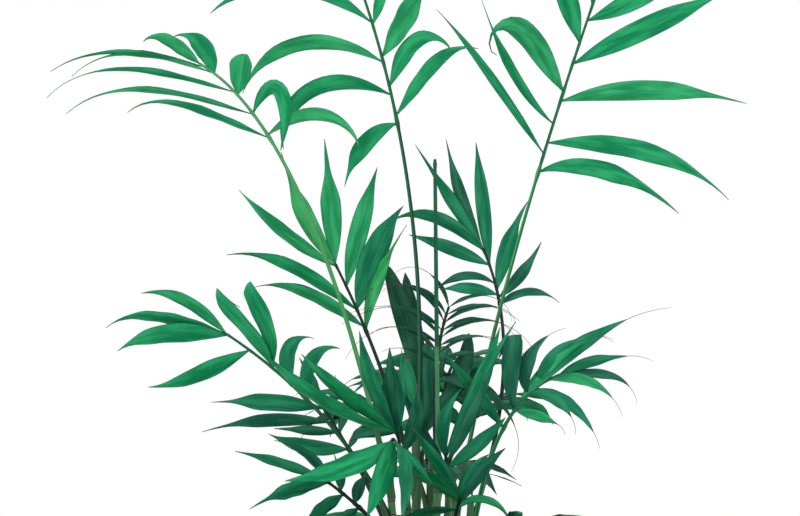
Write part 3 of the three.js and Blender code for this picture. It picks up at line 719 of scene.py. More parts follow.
def cane_finish(settings):
    """Green cane with fine lengthwise streaks and dull patches. The mark on the mesh, 1 at
    a leaf scar, turns it brown."""
    finish = Finish("ringed_cane", Roughness=0.5, Specular_IOR_Level=0.35)
    mark = finish.node("ShaderNodeAttribute", {"attribute_name": "mark"}, output=2)
    streaks = finish.noise(finish.place((700, 700, 40)), 1.0, 3.0)
    patches = finish.noise(finish.place(), 70.0, 4.0)
    green = finish.blend(streaks, 0.35, 0.7,
                         scaled(settings.green, 0.72), scaled(settings.green, 1.25))
    mottled = finish.blend(patches, 0.52, 0.75, green, linear(CANE_PATCH_COLOUR), most=0.6)
    finish.feed("Base Color", finish.blend(mark, 0.15, 0.65, mottled, tuple(settings.scar)))
    finish.bump(streaks * 0.5 + mark * 0.5, 0.0005)
    return finish.material


def sheath_finish(settings):
    """Clasping leaf base: dark green with duller fibres that run along it."""
    finish = Finish("leaf_sheath", Roughness=0.6, Specular_IOR_Level=0.3)
    fibres = finish.noise(finish.place((26, 2.2, 1), surface=True), 1.0, 4.0, 0.6)
    finish.feed("Base Color", finish.blend(
        fibres, 0.38, 0.66, scaled(settings.green, 0.6), linear(FIBRE_COLOUR)))
    finish.bump(fibres, 0.0006)
    return finish.material


def stem_finish(name, colour):
    """Frond stem: smooth and satin, with faint streaks along it."""
    finish = Finish(name, Roughness=0.45, Specular_IOR_Level=0.15)
    streaks = finish.noise(finish.place((9, 5, 1), surface=True), 1.0, 3.0)
    finish.feed("Base Color", finish.blend(
        streaks, 0.3, 0.7, scaled(colour, 0.75), scaled(colour, 1.2)))
    finish.bump(streaks, 0.0002)
    return finish.material


def leaf_finish(name, colour):
    """Leaf blade: a plain base colour, lighter and darker along fine veins, which are its own,
    and in soft cloudy patches of painted light and painted shade, with a soft sheen."""
    finish = Finish(name, Roughness=0.5, Specular_IOR_Level=0.06)
    veins = finish.noise(finish.place((130, 1.6, 1), surface=True), 1.0, 3.0, 0.6)
    # painted light and painted shade: soft cloudy patches that lighten and darken the blade
    shade_and_light_clouds = finish.noise(finish.place((14, 2.2, 1), surface=True), 1.0, 2.0)
    tone = veins * 0.35 + shade_and_light_clouds * 0.65
    # the lighter tone serves the pale veins and the painted light of the patches; the darker
    # one serves the painted shade
    light = (*np.clip(np.array(colour[:3]) * LEAF_PALE_AND_LIT + LEAF_PALE_AND_LIT_HAZE, 0, 1), 1.0)
    finish.feed("Base Color", finish.blend(tone, 0.42, 0.6, scaled(colour, LEAF_DARK_AND_SHADED), light))
    finish.feed("Roughness", veins * 0.2 + 0.4)
    finish.bump(veins, 0.00018)
    return finish.material


def plain_finish(name, colour, roughness):
    """A thin part of a leaflet: dry thread or dark margin, with a faint mottle."""
    finish = Finish(name, Roughness=roughness, Specular_IOR_Level=0.2)
    mottle = finish.noise(finish.place(), 300.0, 2.0)
    finish.feed("Base Color", finish.mix(mottle, scaled(colour, 0.75), scaled(colour, 1.25)))
    return finish.material


# The palm's rule

def swing_of(swing, count):
    """A size that swings by a sine as the count goes on."""
    size, rate = swing
    return size * np.sin(rate * count)


def fill_side(leaflet, count):
    """One side of a filling frond: its starts and lengths swing from pair to pair."""
    pairs = np.arange(FILL_PAIRS) + count
    starts = FILL_START + swing_of(FILL_START_SWING, pairs)
    lengths = leaflet * (FILL_LENGTH + swing_of(FILL_LENGTH_SWING, pairs))
    return dict(FILL_SIDE, start=starts.tolist(), length=lengths.tolist())


def fill_frond(number, name, azimuth, reach, height, knee_height, top, leaflet):
    """A frond with pairs of sagging leaflets that leans out one way, from the cane whose
    foot lies furthest out that way."""
    way = np.array([np.cos(np.radians(azimuth)), np.sin(np.radians(azimuth)), 0.0])
    cane = max(CANES, key=lambda key: np.dot(CANES[key][0], way[:2]))
    return {
        "name": name, "cane": cane, "height": height,
        "face": UP - FILL_FACE_LEAN * way,
        "knee": FILL_KNEE_REACH * reach * way + knee_height * UP,
        "tip": reach * way + top * UP,
        "left": fill_side(leaflet, 2 * number * FILL_PAIRS),
        "right": fill_side(leaflet, (2 * number + 1) * FILL_PAIRS),
    }


def rising_fronds():
    """The rising fronds, each with its knee a share of its reach above its tip."""
    return [fill_frond(number, f"rising_{number + 1}", azimuth, reach, height,
                       top + RISING_ARCH * reach, top, leaflet)
            for number, (azimuth, reach, top, height, leaflet) in enumerate(RISING)]


def skirt_fronds():
    """The drooping fronds: the ring's angle, reach and height swing with the number."""
    fronds = []
    for number in range(SKIRT_COUNT):
        azimuth = 360 / SKIRT_COUNT * number + swing_of(SKIRT_TURN_SWING, number)
        reach = SKIRT_REACH * (1 + swing_of(SKIRT_REACH_SWING, number))
        top = SKIRT_TOP + swing_of(SKIRT_TOP_SWING, number)
        height = SKIRT_HEIGHTS[number % len(SKIRT_HEIGHTS)]
        fronds.append(fill_frond(len(RISING) + number, f"skirt_{number + 1}", azimuth, reach,
                                 height, top + SKIRT_ARCH, top, SKIRT_LEAFLET))
    return fronds


def frond_groups():
    """The pieces to make: each frond of the table alone, and the filling fronds together,
    once the rising and once the drooping ones."""
    groups = {frond["name"]: [frond] for frond in FRONDS}
    return dict(groups, rising=rising_fronds(), skirt=skirt_fronds())


def cane_ends(name, level):
    """The two ends of a cane's middle line, with its foot at a level."""
    foot, top = CANES[name]
    return np.array([*foot, level], float), np.array(top, float)


def cane_point(name, height):
    """The point of a cane's middle line at a height, and its radius there."""
    foot, top = cane_ends(name, SOIL_LEVEL)
    share = (height - foot[2]) / (top[2] - foot[2])
    low, high = CANE_RADII
    return foot + (top - foot) * share, low + (high - low) * share


def stem_line(frond):
    """The three points of a frond's quadratic stem. Its foot stands out from the cane on
    the side of the knee."""
    centre, radius = cane_point(frond["cane"], frond["height"])
    knee = np.array(frond["knee"], float)
    out = unit((knee - centre) * [1, 1, 0])
    return centre + out * (radius + STEM_FOOT_REACH), knee, np.array(frond["tip"], float)


def stem_at(stem, shares):
    """Points of the quadratic: (1 − t)² foot + 2t(1 − t) knee + t² tip."""
    t = np.asarray(shares, float)[:, None]
    return (1 - t) ** 2 * stem[0] + 2 * t * (1 - t) * stem[1] + t ** 2 * stem[2]


def stem_heading(stem, shares):
    """Headings of the quadratic: the derivative, at unit length."""
    t = np.asarray(shares, float)[:, None]
    return unit((1 - t) * (stem[1] - stem[0]) + t * (stem[2] - stem[1]))


def frond_face(frond):
    """The way a frond's face looks: turned from the front, unless face gives it."""
    turn = np.radians(frond.get("turn", 0))
    return np.array(frond.get("face", [np.sin(turn), -np.cos(turn), 0]), float)


def leaflet_values(leaflets):
    """Each column of a side, with one value for each of its leaflets."""
    count = len(leaflets["start"])
    return {key: spread(values, count) for key, values in leaflets.items()}


def leaf_lines(frond, side_name, swings, steps):
    """Middle lines of one side's leaflets. A leaflet starts in the frond's plane, lifted
    a little, at an angle to the stem. Its heading turns by bend times its share to the
    power late, an S-shaped fold turns it back, away from its face, and sag times the share
    pulls it down. The line is the running sum of the headings. Arrays are leaflet × step
    × 3."""
    stem = stem_line(frond)
    values = leaflet_values(frond[side_name])
    start, bend, late, fold, sag = (
        values[key][:, None] for key in ("start", "bend", "late", "fold", "sag"))
    along = stem_heading(stem, values["at"])
    face = frond_face(frond)
    face = unit(face - along * (along @ face)[:, None])
    out = np.cross(along, face) * (1 if side_name == "right" else -1)
    lift = np.radians(values["lift"] + swings)[:, None]
    outward = out * np.cos(lift) + face * np.sin(lift)
    part = (np.arange(steps) + 0.5) / steps
    angle = np.radians(start + bend * part ** late)[..., None]
    level = along[:, None] * np.cos(angle) + outward[:, None] * np.sin(angle)
    fold = (np.radians(fold) / (1 + np.exp(FOLD_SHARPNESS * (FOLD_PLACE - part))))[..., None]
    ways = unit(level * np.cos(fold) - face[:, None] * np.sin(fold)
                - UP * (sag * part)[..., None])
    foot = stem_at(stem, values["at"])[:, None]
    walk = np.cumsum(ways * (values["length"] / steps)[:, None, None], axis=1)
    return {"points": np.concatenate([foot, foot + walk], axis=1), "ways": ways,
            "faces": face[:, None] * np.cos(fold) + level * np.sin(fold),
            "length": values["length"], "width": values["width"],
            "roll": np.radians(values["roll"])}


def solid_swings(frond, side_name):
    """The swing that each of a side's solid leaflets took: the one whose tip lies nearest
    to a corner of the frond's solid."""
    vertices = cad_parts["frond_" + frond["name"]].data.vertices
    corners = np.zeros(len(vertices) * 3, np.float32)
    vertices.foreach_get("co", corners)
    corners = corners.reshape(-1, 3) / MM
    tips = np.stack([leaf_lines(frond, side_name, swing, SOLID_STEPS)["points"][:, -1]
                     for swing in SWINGS])
    distance = np.linalg.norm(tips[:, :, None] - corners, axis=-1).min(-1)
    return np.array(SWINGS, float)[distance.argmin(0)]


def swung_lines(frond, side_name, steps):
    """Middle lines of one side's leaflets, swung as the solid ones are."""
    return leaf_lines(frond, side_name, solid_swings(frond, side_name), steps)


# Pot and soil

# The pot, in metres
AXIS_GAP = 0.0005  # between a profile's end and the axis
RIM_LEAN = 0.002  # of the rim's band
RIM_STEP = 0.001  # under the rim's band
POT_ROUNDING = 0.0022  # the reach of the curve at a corner
BEND_POINTS = 4  # along such a curve
POT_SPACING = 0.004  # between two rows
POT_RING = 96
POT_WOBBLE = 0.0015  # share of the radius
TURNING_MARKS = (0.00018, 900, 210)  # depth, and the rates of two waves up the wall
MARKS_FROM = 0.05  # the radius outside which the marks show

# The soil and its crumbs, in metres
SOIL_ROWS = 40
SOIL_MIDDLE = 0.004  # share of the radius at which the rows start
SOIL_FOOT_INSET = 0.0065  # from the pot's base radius
SOIL_EDGE_CUT = 0.004  # how far the slanting wall ends below the top
SOIL_EDGE_DROP = 0.001  # of the ground towards the wall
SOIL_EDGE_POWER = 12  # of the share outwards, by which it drops
CRUMB_RIM_GAP = 0.004
CRUMB_SIZES = (0.0008, 0.0022)  # the least radius, and what chance may add
CRUMB_LIFT = 0.2  # share of its size by which a crumb stands up
CRUMB_HEIGHTS = np.linspace(-0.92, 0.92, 4)  # of a crumb's rings
CRUMB_RING = 6
CRUMB_STRETCH = (0.6, 1.3)  # along each axis, by chance
CRUMB_FLATNESS = [1, 1, 0.7]
CRUMB_DENTS = (0.8, 1.2)  # shares of a corner's distance, by chance
SOIL_SEED = 7


def rounded(profile, radius):
    """A polyline with each inner corner replaced by a quadratic that starts and ends
    radius away from it, or half-way to the next corner."""
    profile = np.asarray(profile, float)
    before, corner, after = profile[:-2], profile[1:-1], profile[2:]
    start, end = [
        corner + unit(other - corner) * np.minimum(
            radius, 0.5 * np.linalg.norm(other - corner, axis=1))[:, None]
        for other in (before, after)]
    t = np.linspace(0, 1, BEND_POINTS)[None, :, None]
    start, corner, end = start[:, None], corner[:, None], end[:, None]
    bends = (1 - t) ** 2 * start + 2 * t * (1 - t) * corner + t ** 2 * end
    return np.concatenate([profile[:1], bends.reshape(-1, 2), profile[-1:]])


def turned(profile, wobble=0.0):
    """A profile of radius and height carried round the upright, with a slight wobble of
    its radius that repeats three and five times round."""
    angle = round_angles(POT_RING)
    uneven = 1 + wobble * (np.sin(3 * angle + 1) + 0.6 * np.sin(5 * angle))
    radius = profile[:, :1] * uneven
    height = np.repeat(profile[:, 1:], POT_RING, axis=1)
    return np.stack([radius * np.cos(angle), radius * np.sin(angle), height], -1)[None]


def dense(profile, spacing):
    """A polyline with points no further apart than spacing."""
    pieces = []
    for start, end in zip(profile[:-1], profile[1:]):
        count = max(int(np.ceil(np.linalg.norm(end - start) / spacing)), 1)
        pieces.append(start + (end - start) * np.arange(count)[:, None] / count)
    return np.concatenate(pieces + [profile[-1:]])


class PALM_OT_pot(bpy.types.Operator):
    """Build the clay pot"""

    bl_idname = "palm.pot"
    bl_label = "Pot"

    def execute(self, context):
        sizes = context.scene.palm_pot
        band = sizes.height - sizes.rim_height
        slope = (sizes.body_radius - sizes.base_radius) / band
        inner_top = sizes.base_radius + slope * sizes.height - sizes.wall
        inner_low = sizes.base_radius + slope * sizes.floor - sizes.wall
        profile = dense(rounded([
            (AXIS_GAP, 0), (sizes.base_radius, 0), (sizes.body_radius, band),
            (sizes.rim_radius - RIM_LEAN, band + RIM_STEP), (sizes.rim_radius, sizes.height),
            (inner_top, sizes.height), (inner_low, sizes.floor), (AXIS_GAP, sizes.floor),
        ], POT_ROUNDING), POT_SPACING)
        radius, height = profile.T
        depth, fast, slow = TURNING_MARKS
        marks = depth * np.sin(height * fast) * np.sin(height * slow + 1)
        profile[:, 0] += np.where(radius > MARKS_FROM, marks, 0)
        points = turned(profile, POT_WOBBLE)
        points[..., 2] = np.maximum(points[..., 2], 0)
        piece("pot_clay", shells(points), [clay_finish(sizes)], ["pot"])
        return {"FINISHED"}


def ground_height(x, y):
    """Uneven ground: a sum of crossing waves, a few tenths of a millimetre to two."""
    return (0.0009 * np.sin(90 * x + 40 * y + 1)
            + 0.0007 * np.sin(150 * y - 60 * x)
            + 0.0004 * np.sin(410 * x + 2) * np.sin(380 * y)
            + 0.0003 * np.sin(900 * x + 700 * y))


def soil_bed(foot_radius, radius, low, high):
    """The soil as a turned profile, with uneven ground that drops to its edge."""
    shares = np.linspace(SOIL_MIDDLE, 1, SOIL_ROWS)[::-1]
    side_rows = [(AXIS_GAP, low), (foot_radius, low), (radius, high - SOIL_EDGE_CUT)]
    ground = np.stack([radius * shares, np.full(SOIL_ROWS, high)], -1)
    points = turned(np.concatenate([side_rows, ground]))
    top = points[0, len(side_rows):]
    edge = np.linspace(1, 0, SOIL_ROWS)[:, None] ** SOIL_EDGE_POWER
    top[..., 2] += (ground_height(top[..., 0], top[..., 1]) * (1 - edge)
                    - SOIL_EDGE_DROP * edge)
    return shells(points)


def soil_crumbs(count, reach, level, rng):
    """Dented balls, evenly spread over a disk and set on the uneven ground."""
    distance = reach * np.sqrt(rng.random(count))
    angle = rng.random(count) * 2 * np.pi
    x, y = distance * np.cos(angle), distance * np.sin(angle)
    least, further = CRUMB_SIZES
    size = least + further * rng.random(count) ** 2
    centre = np.stack([x, y, level + ground_height(x, y) + CRUMB_LIFT * size], -1)
    around = round_angles(CRUMB_RING)
    wide = np.sqrt(1 - CRUMB_HEIGHTS ** 2)[:, None]
    ball = np.stack([wide * np.cos(around), wide * np.sin(around),
                     np.repeat(CRUMB_HEIGHTS[:, None], CRUMB_RING, 1)], -1)
    stretch = rng.uniform(*CRUMB_STRETCH, (count, 1, 1, 3)) * CRUMB_FLATNESS
    dents = rng.uniform(*CRUMB_DENTS, (count, *ball.shape[:2], 1))
    return shells(centre[:, None, None] + ball * stretch * dents * size[:, None, None, None])


class PALM_OT_soil(bpy.types.Operator):
    """Build the potting soil and its loose crumbs"""

    bl_idname = "palm.soil"
    bl_label = "Soil"

    def execute(self, context):
        sizes = context.scene.palm_pot
        low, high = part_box("soil")
        finish = soil_finish(sizes)
        bed = soil_bed(sizes.base_radius - SOIL_FOOT_INSET, high.x, low.z, high.z)
        crumbs = soil_crumbs(sizes.crumbs, high.x - CRUMB_RIM_GAP, high.z,
                             np.random.default_rng(SOIL_SEED))
        piece("potting_soil", bed, [finish], ["soil"])
        piece("soil_crumbs", crumbs, [finish], [])
        return {"FINISHED"}


# Canes and spear

# A cane and its leaf scars, in metres but for the depth
CANE_DEPTH = 5  # millimetres below the soil
CANE_ROWS = 60
CANE_RING = 14
CANE_BOW = 0.0012  # at most, half-way up
BOW_WAY = np.array([1.0, 0.4, 0])
FOOT_FLARE = 0.0018
CANE_END = 0.0025  # height of the rounded end
CANE_END_ROUND = 0.97  # how far the end closes
CANE_END_ROWS = 4
SCAR_COUNT = 24  # at most
SCAR_GAPS = (0.6, 1.35)  # shares of the spacing, by chance
SCAR_GAP_GROWTH = (0.75, 1.3)  # from the foot to the top
SCAR_OFF_TOP = 0.004
SCAR_ROWS = np.linspace(-0.003, 0.003, 9)  # points along the cane about a scar
SCAR_WIDTH = 0.0009
SWELLING = 0.003  # its width, and its height above its scar
CANE_SHARE = 0.97  # of the radius, between the scars
SCAR_SHARE = 0.10  # what a scar adds
SWELLING_SHARE = 0.03  # what a swelling adds
CANE_SEED = 11

# The spear: its ends in millimetres, the rest in metres
SPEAR_FOOT = [8, 4, 300]
SPEAR_TIP = [5, 6, 592]
SPEAR_PALE_SHARE = 0.34  # its lowest part
SPEAR_COLOURS = {"spear_green": (16, 84, 58), "spear_pale": (64, 130, 84)}
SPEAR_ROWS = 60
SPEAR_RING = 16
SPEAR_RADIUS = 0.0026
SPEAR_TAPER = 0.0007  # lost up to the tip
SPEAR_POINT = 0.0006  # lost by the point
SPEAR_POINT_FROM = 0.94
SPEAR_BUD = (0.0007, 0.985, 0.012)  # height, place and width
SPEAR_LEAST = 0.9  # share of the radius under the rolled edge
SPEAR_EDGE = 0.044  # what one turn of the leaf adds
SPEAR_TURNS = 1.5


def cane_shape(name, sizes, rng):
    """A cane: a tapering line that bows a little, with a foot that flares by
    (1 − share)⁸. A ring of scar tissue stands out at each joint, a bell curve of the
    height, and the cane swells a little above it."""
    foot, top = [end * MM for end in cane_ends(name, SOIL_LEVEL - CANE_DEPTH)]
    length = np.linalg.norm(top - foot)
    scars = np.cumsum(sizes.ring_spacing * rng.uniform(*SCAR_GAPS, SCAR_COUNT)
                      * np.linspace(*SCAR_GAP_GROWTH, SCAR_COUNT))
    scars = scars[scars < length - SCAR_OFF_TOP]
    place = np.unique(np.concatenate(
        [np.linspace(0, length, CANE_ROWS), (scars[:, None] + SCAR_ROWS).ravel()]))
    place = place[(place >= 0) & (place <= length)]
    share = place / length
    scar = bell(place[:, None] - scars, SCAR_WIDTH).sum(1)
    swell = bell(place[:, None] - scars - SWELLING, SWELLING).sum(1)
    radius = (sizes.foot_radius + (sizes.top_radius - sizes.foot_radius) * share
              + FOOT_FLARE * (1 - share) ** 8)
    radius = radius * (CANE_SHARE + SCAR_SHARE * scar + SWELLING_SHARE * swell)
    bow = CANE_BOW * np.sin(np.pi * share) * rng.uniform(-1, 1)
    points = foot + (top - foot) * share[:, None] + BOW_WAY * bow[:, None]
    end = np.linspace(0, 1, CANE_END_ROWS + 1)[1:]
    points = np.concatenate([points, points[-1] + np.outer(end * CANE_END, UP)])
    radius = np.concatenate([radius, radius[-1] * np.sqrt(1 - (CANE_END_ROUND * end) ** 2)])
    shape = tube_shell(points, radius, CANE_RING, ACROSS)
    shape["value"] = np.repeat(
        np.concatenate([np.clip(scar, 0, 1), np.zeros(CANE_END_ROWS)]), CANE_RING)
    return shape


class PALM_OT_canes(bpy.types.Operator):
    """Build the ringed canes"""

    bl_idname = "palm.canes"
    bl_label = "Canes"

    def execute(self, context):
        sizes = context.scene.palm_cane
        finish = cane_finish(sizes)
        rng = np.random.default_rng(CANE_SEED)
        for name in CANES:
            shape = cane_shape(name, sizes, rng)
            piece("ringed_cane_" + name, shape, [finish], ["cane_" + name])
        return {"FINISHED"}


def spear_shape():
    """The spear: a straight tapering line whose last share narrows to a small bud. Its
    radius grows evenly round each ring, which leaves a step where the rolled edge lies."""
    share = np.linspace(0, 1, SPEAR_ROWS)
    foot, tip = np.array([SPEAR_FOOT, SPEAR_TIP], float) * MM
    height, place, width = SPEAR_BUD
    point = np.clip((share - SPEAR_POINT_FROM) / (1 - SPEAR_POINT_FROM), 0, 1)
    taper = (SPEAR_RADIUS - SPEAR_TAPER * share - SPEAR_POINT * point
             + height * bell(share - place, width))
    around = np.arange(SPEAR_RING) / SPEAR_RING
    wide = SPEAR_LEAST + SPEAR_EDGE * (around + SPEAR_TURNS * share[:, None])
    return tube_shell(foot + (tip - foot) * share[:, None], taper[:, None] * wide,
                      SPEAR_RING, ACROSS, (share[:-1] < SPEAR_PALE_SHARE).astype(int))


class PALM_OT_spear(bpy.types.Operator):
    """Build the unopened leaf that stands upright in the middle"""

    bl_idname = "palm.spear"
    bl_label = "Spear"

    def execute(self, context):
        finishes = [stem_finish(name, linear(colour)) for name, colour in SPEAR_COLOURS.items()]
        piece("rolled_spear", spear_shape(), finishes, ["spear_leaf"])
        return {"FINISHED"}


# Frond stems

# A frond's stem
STEM_ROWS = 64
STEM_RING = 10
STEM_TAPER = 0.8  # power of the share along it
JOINT_LENGTH = 0.0018  # metres, of the swelling at a leaflet
FIRST_JOINT_LENGTH = 0.005  # and at the first leaflet
CHANNEL_DEPTH = 0.22  # share of the radius
# the channel's faces take the painted highlight
CHANNEL_SLOT = 2

# A sheath, in millimetres
SHEATH_START = 34  # below its frond
SHEATH_LEAVES = 12  # below its frond, where it leaves the cane
SHEATH_OFF_SOIL = 2  # at least
SHEATH_STEM_SHARE = 0.09  # of the stem, where it ends
SHEATH_SLACK = 0.5  # between it and the cane
SHEATH_TIP_RADIUS = 2.3
SHEATH_BULGE = 1.1
SHEATH_ROWS = 22
SHEATH_RING = 12
SHEATH_ACROSS = np.array([1.0, 0.2, 0.0])  # the side of each row's first point
SHEATH_SLOT = 3


def stem_shape(frond, sizes):
    """A frond's stem: a tapering tube along its quadratic, swollen a little where the leaflets
    join and most at the first one. A channel on its face side takes the cube of a cosine off
    its radius. The petiole takes the first slot, the rachis the second and the channel the
    third. The channel's slot holds a lighter copy of the rachis colour, a painted highlight
    along the face side."""
    share = np.linspace(0, 1, STEM_ROWS)
    points = stem_at(stem_line(frond), share) * MM
    radius = (sizes.petiole_radius
              + (sizes.rachis_radius - sizes.petiole_radius) * share ** STEM_TAPER)
    joints = np.concatenate([leaflet_values(frond[name])["at"] for name in SIDES])
    length = run_length(points)[-1]
    bulge = bell((share[:, None] - joints) * length, JOINT_LENGTH).max(1)
    first = bell((share - joints.min()) * length, FIRST_JOINT_LENGTH)
    radius = radius * (1 + sizes.joint_swelling * (bulge + first))
    channel = 1 - CHANNEL_DEPTH * np.clip(np.cos(round_angles(STEM_RING)), 0, 1) ** 3
    marks = np.repeat((share[:-1, None] > joints.min()).astype(int), STEM_RING, 1)
    marks[:, [0, -1]] = CHANNEL_SLOT
    return tube_shell(points, radius[:, None] * channel, STEM_RING, frond_face(frond), marks)


def sheath_shape(frond):
    """The stem's clasping foot: a tube that starts as a sleeve round the cane, leans over
    to the stem and narrows onto it. Both the line and the radius pass smoothly between
    the two."""
    start = max(frond["height"] - SHEATH_START, SOIL_LEVEL + SHEATH_OFF_SOIL)
    low, radius = cane_point(frond["cane"], start)
    middle, _ = cane_point(frond["cane"], frond["height"] - SHEATH_LEAVES)
    end = stem_at(stem_line(frond), [SHEATH_STEM_SHARE])
    share = np.linspace(0, 1, SHEATH_ROWS)
    line = low + (middle - low) * share[:, None] + (end - middle) * share[:, None] ** 2
    ease = smooth_step(share)
    size = ((radius + SHEATH_SLACK) * (1 - ease) + SHEATH_TIP_RADIUS * ease
            + SHEATH_BULGE * np.sin(np.pi * share) ** 2)
    return tube_shell(line * MM, size * MM, SHEATH_RING, SHEATH_ACROSS,
                      np.full(SHEATH_ROWS - 1, SHEATH_SLOT))


class PALM_OT_stems(bpy.types.Operator):
    """Build the fronds' stems and the sheaths at their feet"""

    bl_idname = "palm.stems"
    bl_label = "Frond stems"

    def execute(self, context):
        sizes = context.scene.palm_cane
        colours = {name: linear(colour) for name, colour in STEM_COLOURS.items()}
        stems = {name: stem_finish("stem_" + name, colour) for name, colour in colours.items()}
        # painted highlight: each channel takes a lighter copy of its stem colour
        highlight_channels = {name: stem_finish("channel_highlight_" + name, scaled(colour, 1.15))
                    for name, colour in colours.items()}
        sheath = sheath_finish(sizes)
        for name, fronds in frond_groups().items():
            parts = [stem_shape(frond, sizes) for frond in fronds]
            parts += [sheath_shape(frond) for frond in fronds]
            petiole, rachis = STEM_SHADES.get(name, ("dark", "dark"))
            piece("stems_" + name, joined(parts),
                  [stems[petiole], stems[rachis], highlight_channels[rachis], sheath],
                  ["frond_" + frond["name"] for frond in fronds])
        return {"FINISHED"}


# Leaflets

# A blade's outline, by shares of its length
LEAF_ROUNDNESS = 0.8  # power of the sine
LEAF_FULLEST = 0.88  # power of the share: with 1 the blade is widest half-way
LEAF_TAIL_START = (0.48, 0.68)  # of the drawn-out tip, by chance
LEAF_TAIL_RUN = 0.3  # over which it narrows
LEAF_TAIL_DRAW = (0.35, 0.8)  # by how much, by chance
LEAF_FOOT_DRAW = 0.5  # by how much the foot narrows
LEAST_HALF = 0.28  # half width in millimetres
FOOT_HALF = 0.4  # what is added to that at the foot
FOOT_SHARE = 0.05  # which part is the foot

# The form of a frond's blades: where they are widest, how full they are, and how much of
# the drawn-out tip they have
PLAIN_FORM = (LEAF_FULLEST, LEAF_ROUNDNESS, 1.0)
FULL_FORM = (0.95, 0.75, 0.55)
BLADE_FORMS = {
    "broad_center": (1.3, 0.6, 0.0),
    **dict.fromkeys(("near_left", "front_drop", "near_right", "front_low", "low_right"),
                    FULL_FORM),
}

# A blade's cross-section, in millimetres
ARCH_SHARE = 0.013  # of the blade's length
LEAST_ARCH = 1.1
ARCH_PART = 0.75  # the part of the arch that shows
RIPPLE_HEIGHT = 0.09  # share of the half width
RIPPLE_WAVES = (2.0, 4.5)  # along the blade, by chance
RIPPLE_SLANT = 1.3  # how far the two edges are out of step
WIDTH_SPREAD = (0.94, 1.06)  # shares of a blade's width, by chance
MARGIN_LIMITS = (0.5, 0.97)  # where a margin may start
EDGE_THINNING = 0.6  # share of the thickness lost at an edge
THREAD_SPREAD = (0.4, 1.6)  # shares of the dry thread's length, by chance
UV_OFFSET = 40  # how far a blade's texture may be moved
FINE_INNER = 0.4  # place of the points beside the rib
PLAIN_INNER = 0.5
MARGIN_FACES = [0, 5, 6, 9]  # of the faces round a fine blade
LEAFLET_SEED = 5

# Fine dry strands run on from the leaflets of a frond: how long they are, as a share of
# the leaflet, and how far they bend
STRANDS = {"feathered": (0.7, 50), "low_right": (0.28, 45)}
STRAND_LENGTHS = (0.4, 1.3)  # shares of that length, by chance
STRAND_BENDS = (0.3, 1.5)  # shares of that bend, by chance
STRAND_STEPS = 10
STRAND_PLANE_STEPS = 4  # over which the leaflet's last bend is seen
STRAND_RING = 4
STRAND_END = 0.5  # share of the radius
STRAND_SEED = 3


def half_width(width, share, form, tail_start, tail_draw):
    """Half of a blade's width: a power of the sine of π times the share to a power, drawn
    in at its foot by (1 − share)¹² and towards its tip by an S-shaped step."""
    fullest, roundness, tip = form
    body = np.sin(np.pi * share ** fullest).clip(0) ** roundness
    tail = tip * tail_draw * smooth_step(np.clip((share - tail_start) / LEAF_TAIL_RUN, 0, 1))
    return 0.5 * width * body * (1 - tail) * (1 - LEAF_FOOT_DRAW * (1 - share) ** 12)


def across_blade(margin, fine):
    """Places across a blade, −1 and 1 at its edges: those on its face from edge to edge,
    then those underneath on the way back. Of a fine blade, some lie where its margins
    start. The second array is 1 for a place underneath."""
    one = np.ones_like(margin)
    if fine:
        top = [-one, -margin, -FINE_INNER * one, 0 * one, FINE_INNER * one, margin, one]
        low = [margin, 0 * one, -margin]
    else:
        top = [-one, -PLAIN_INNER * one, 0 * one, PLAIN_INNER * one, one]
        low = [0 * one]
    return np.stack(top + low, -1), np.repeat([0.0, 1.0], [len(top), len(low)])


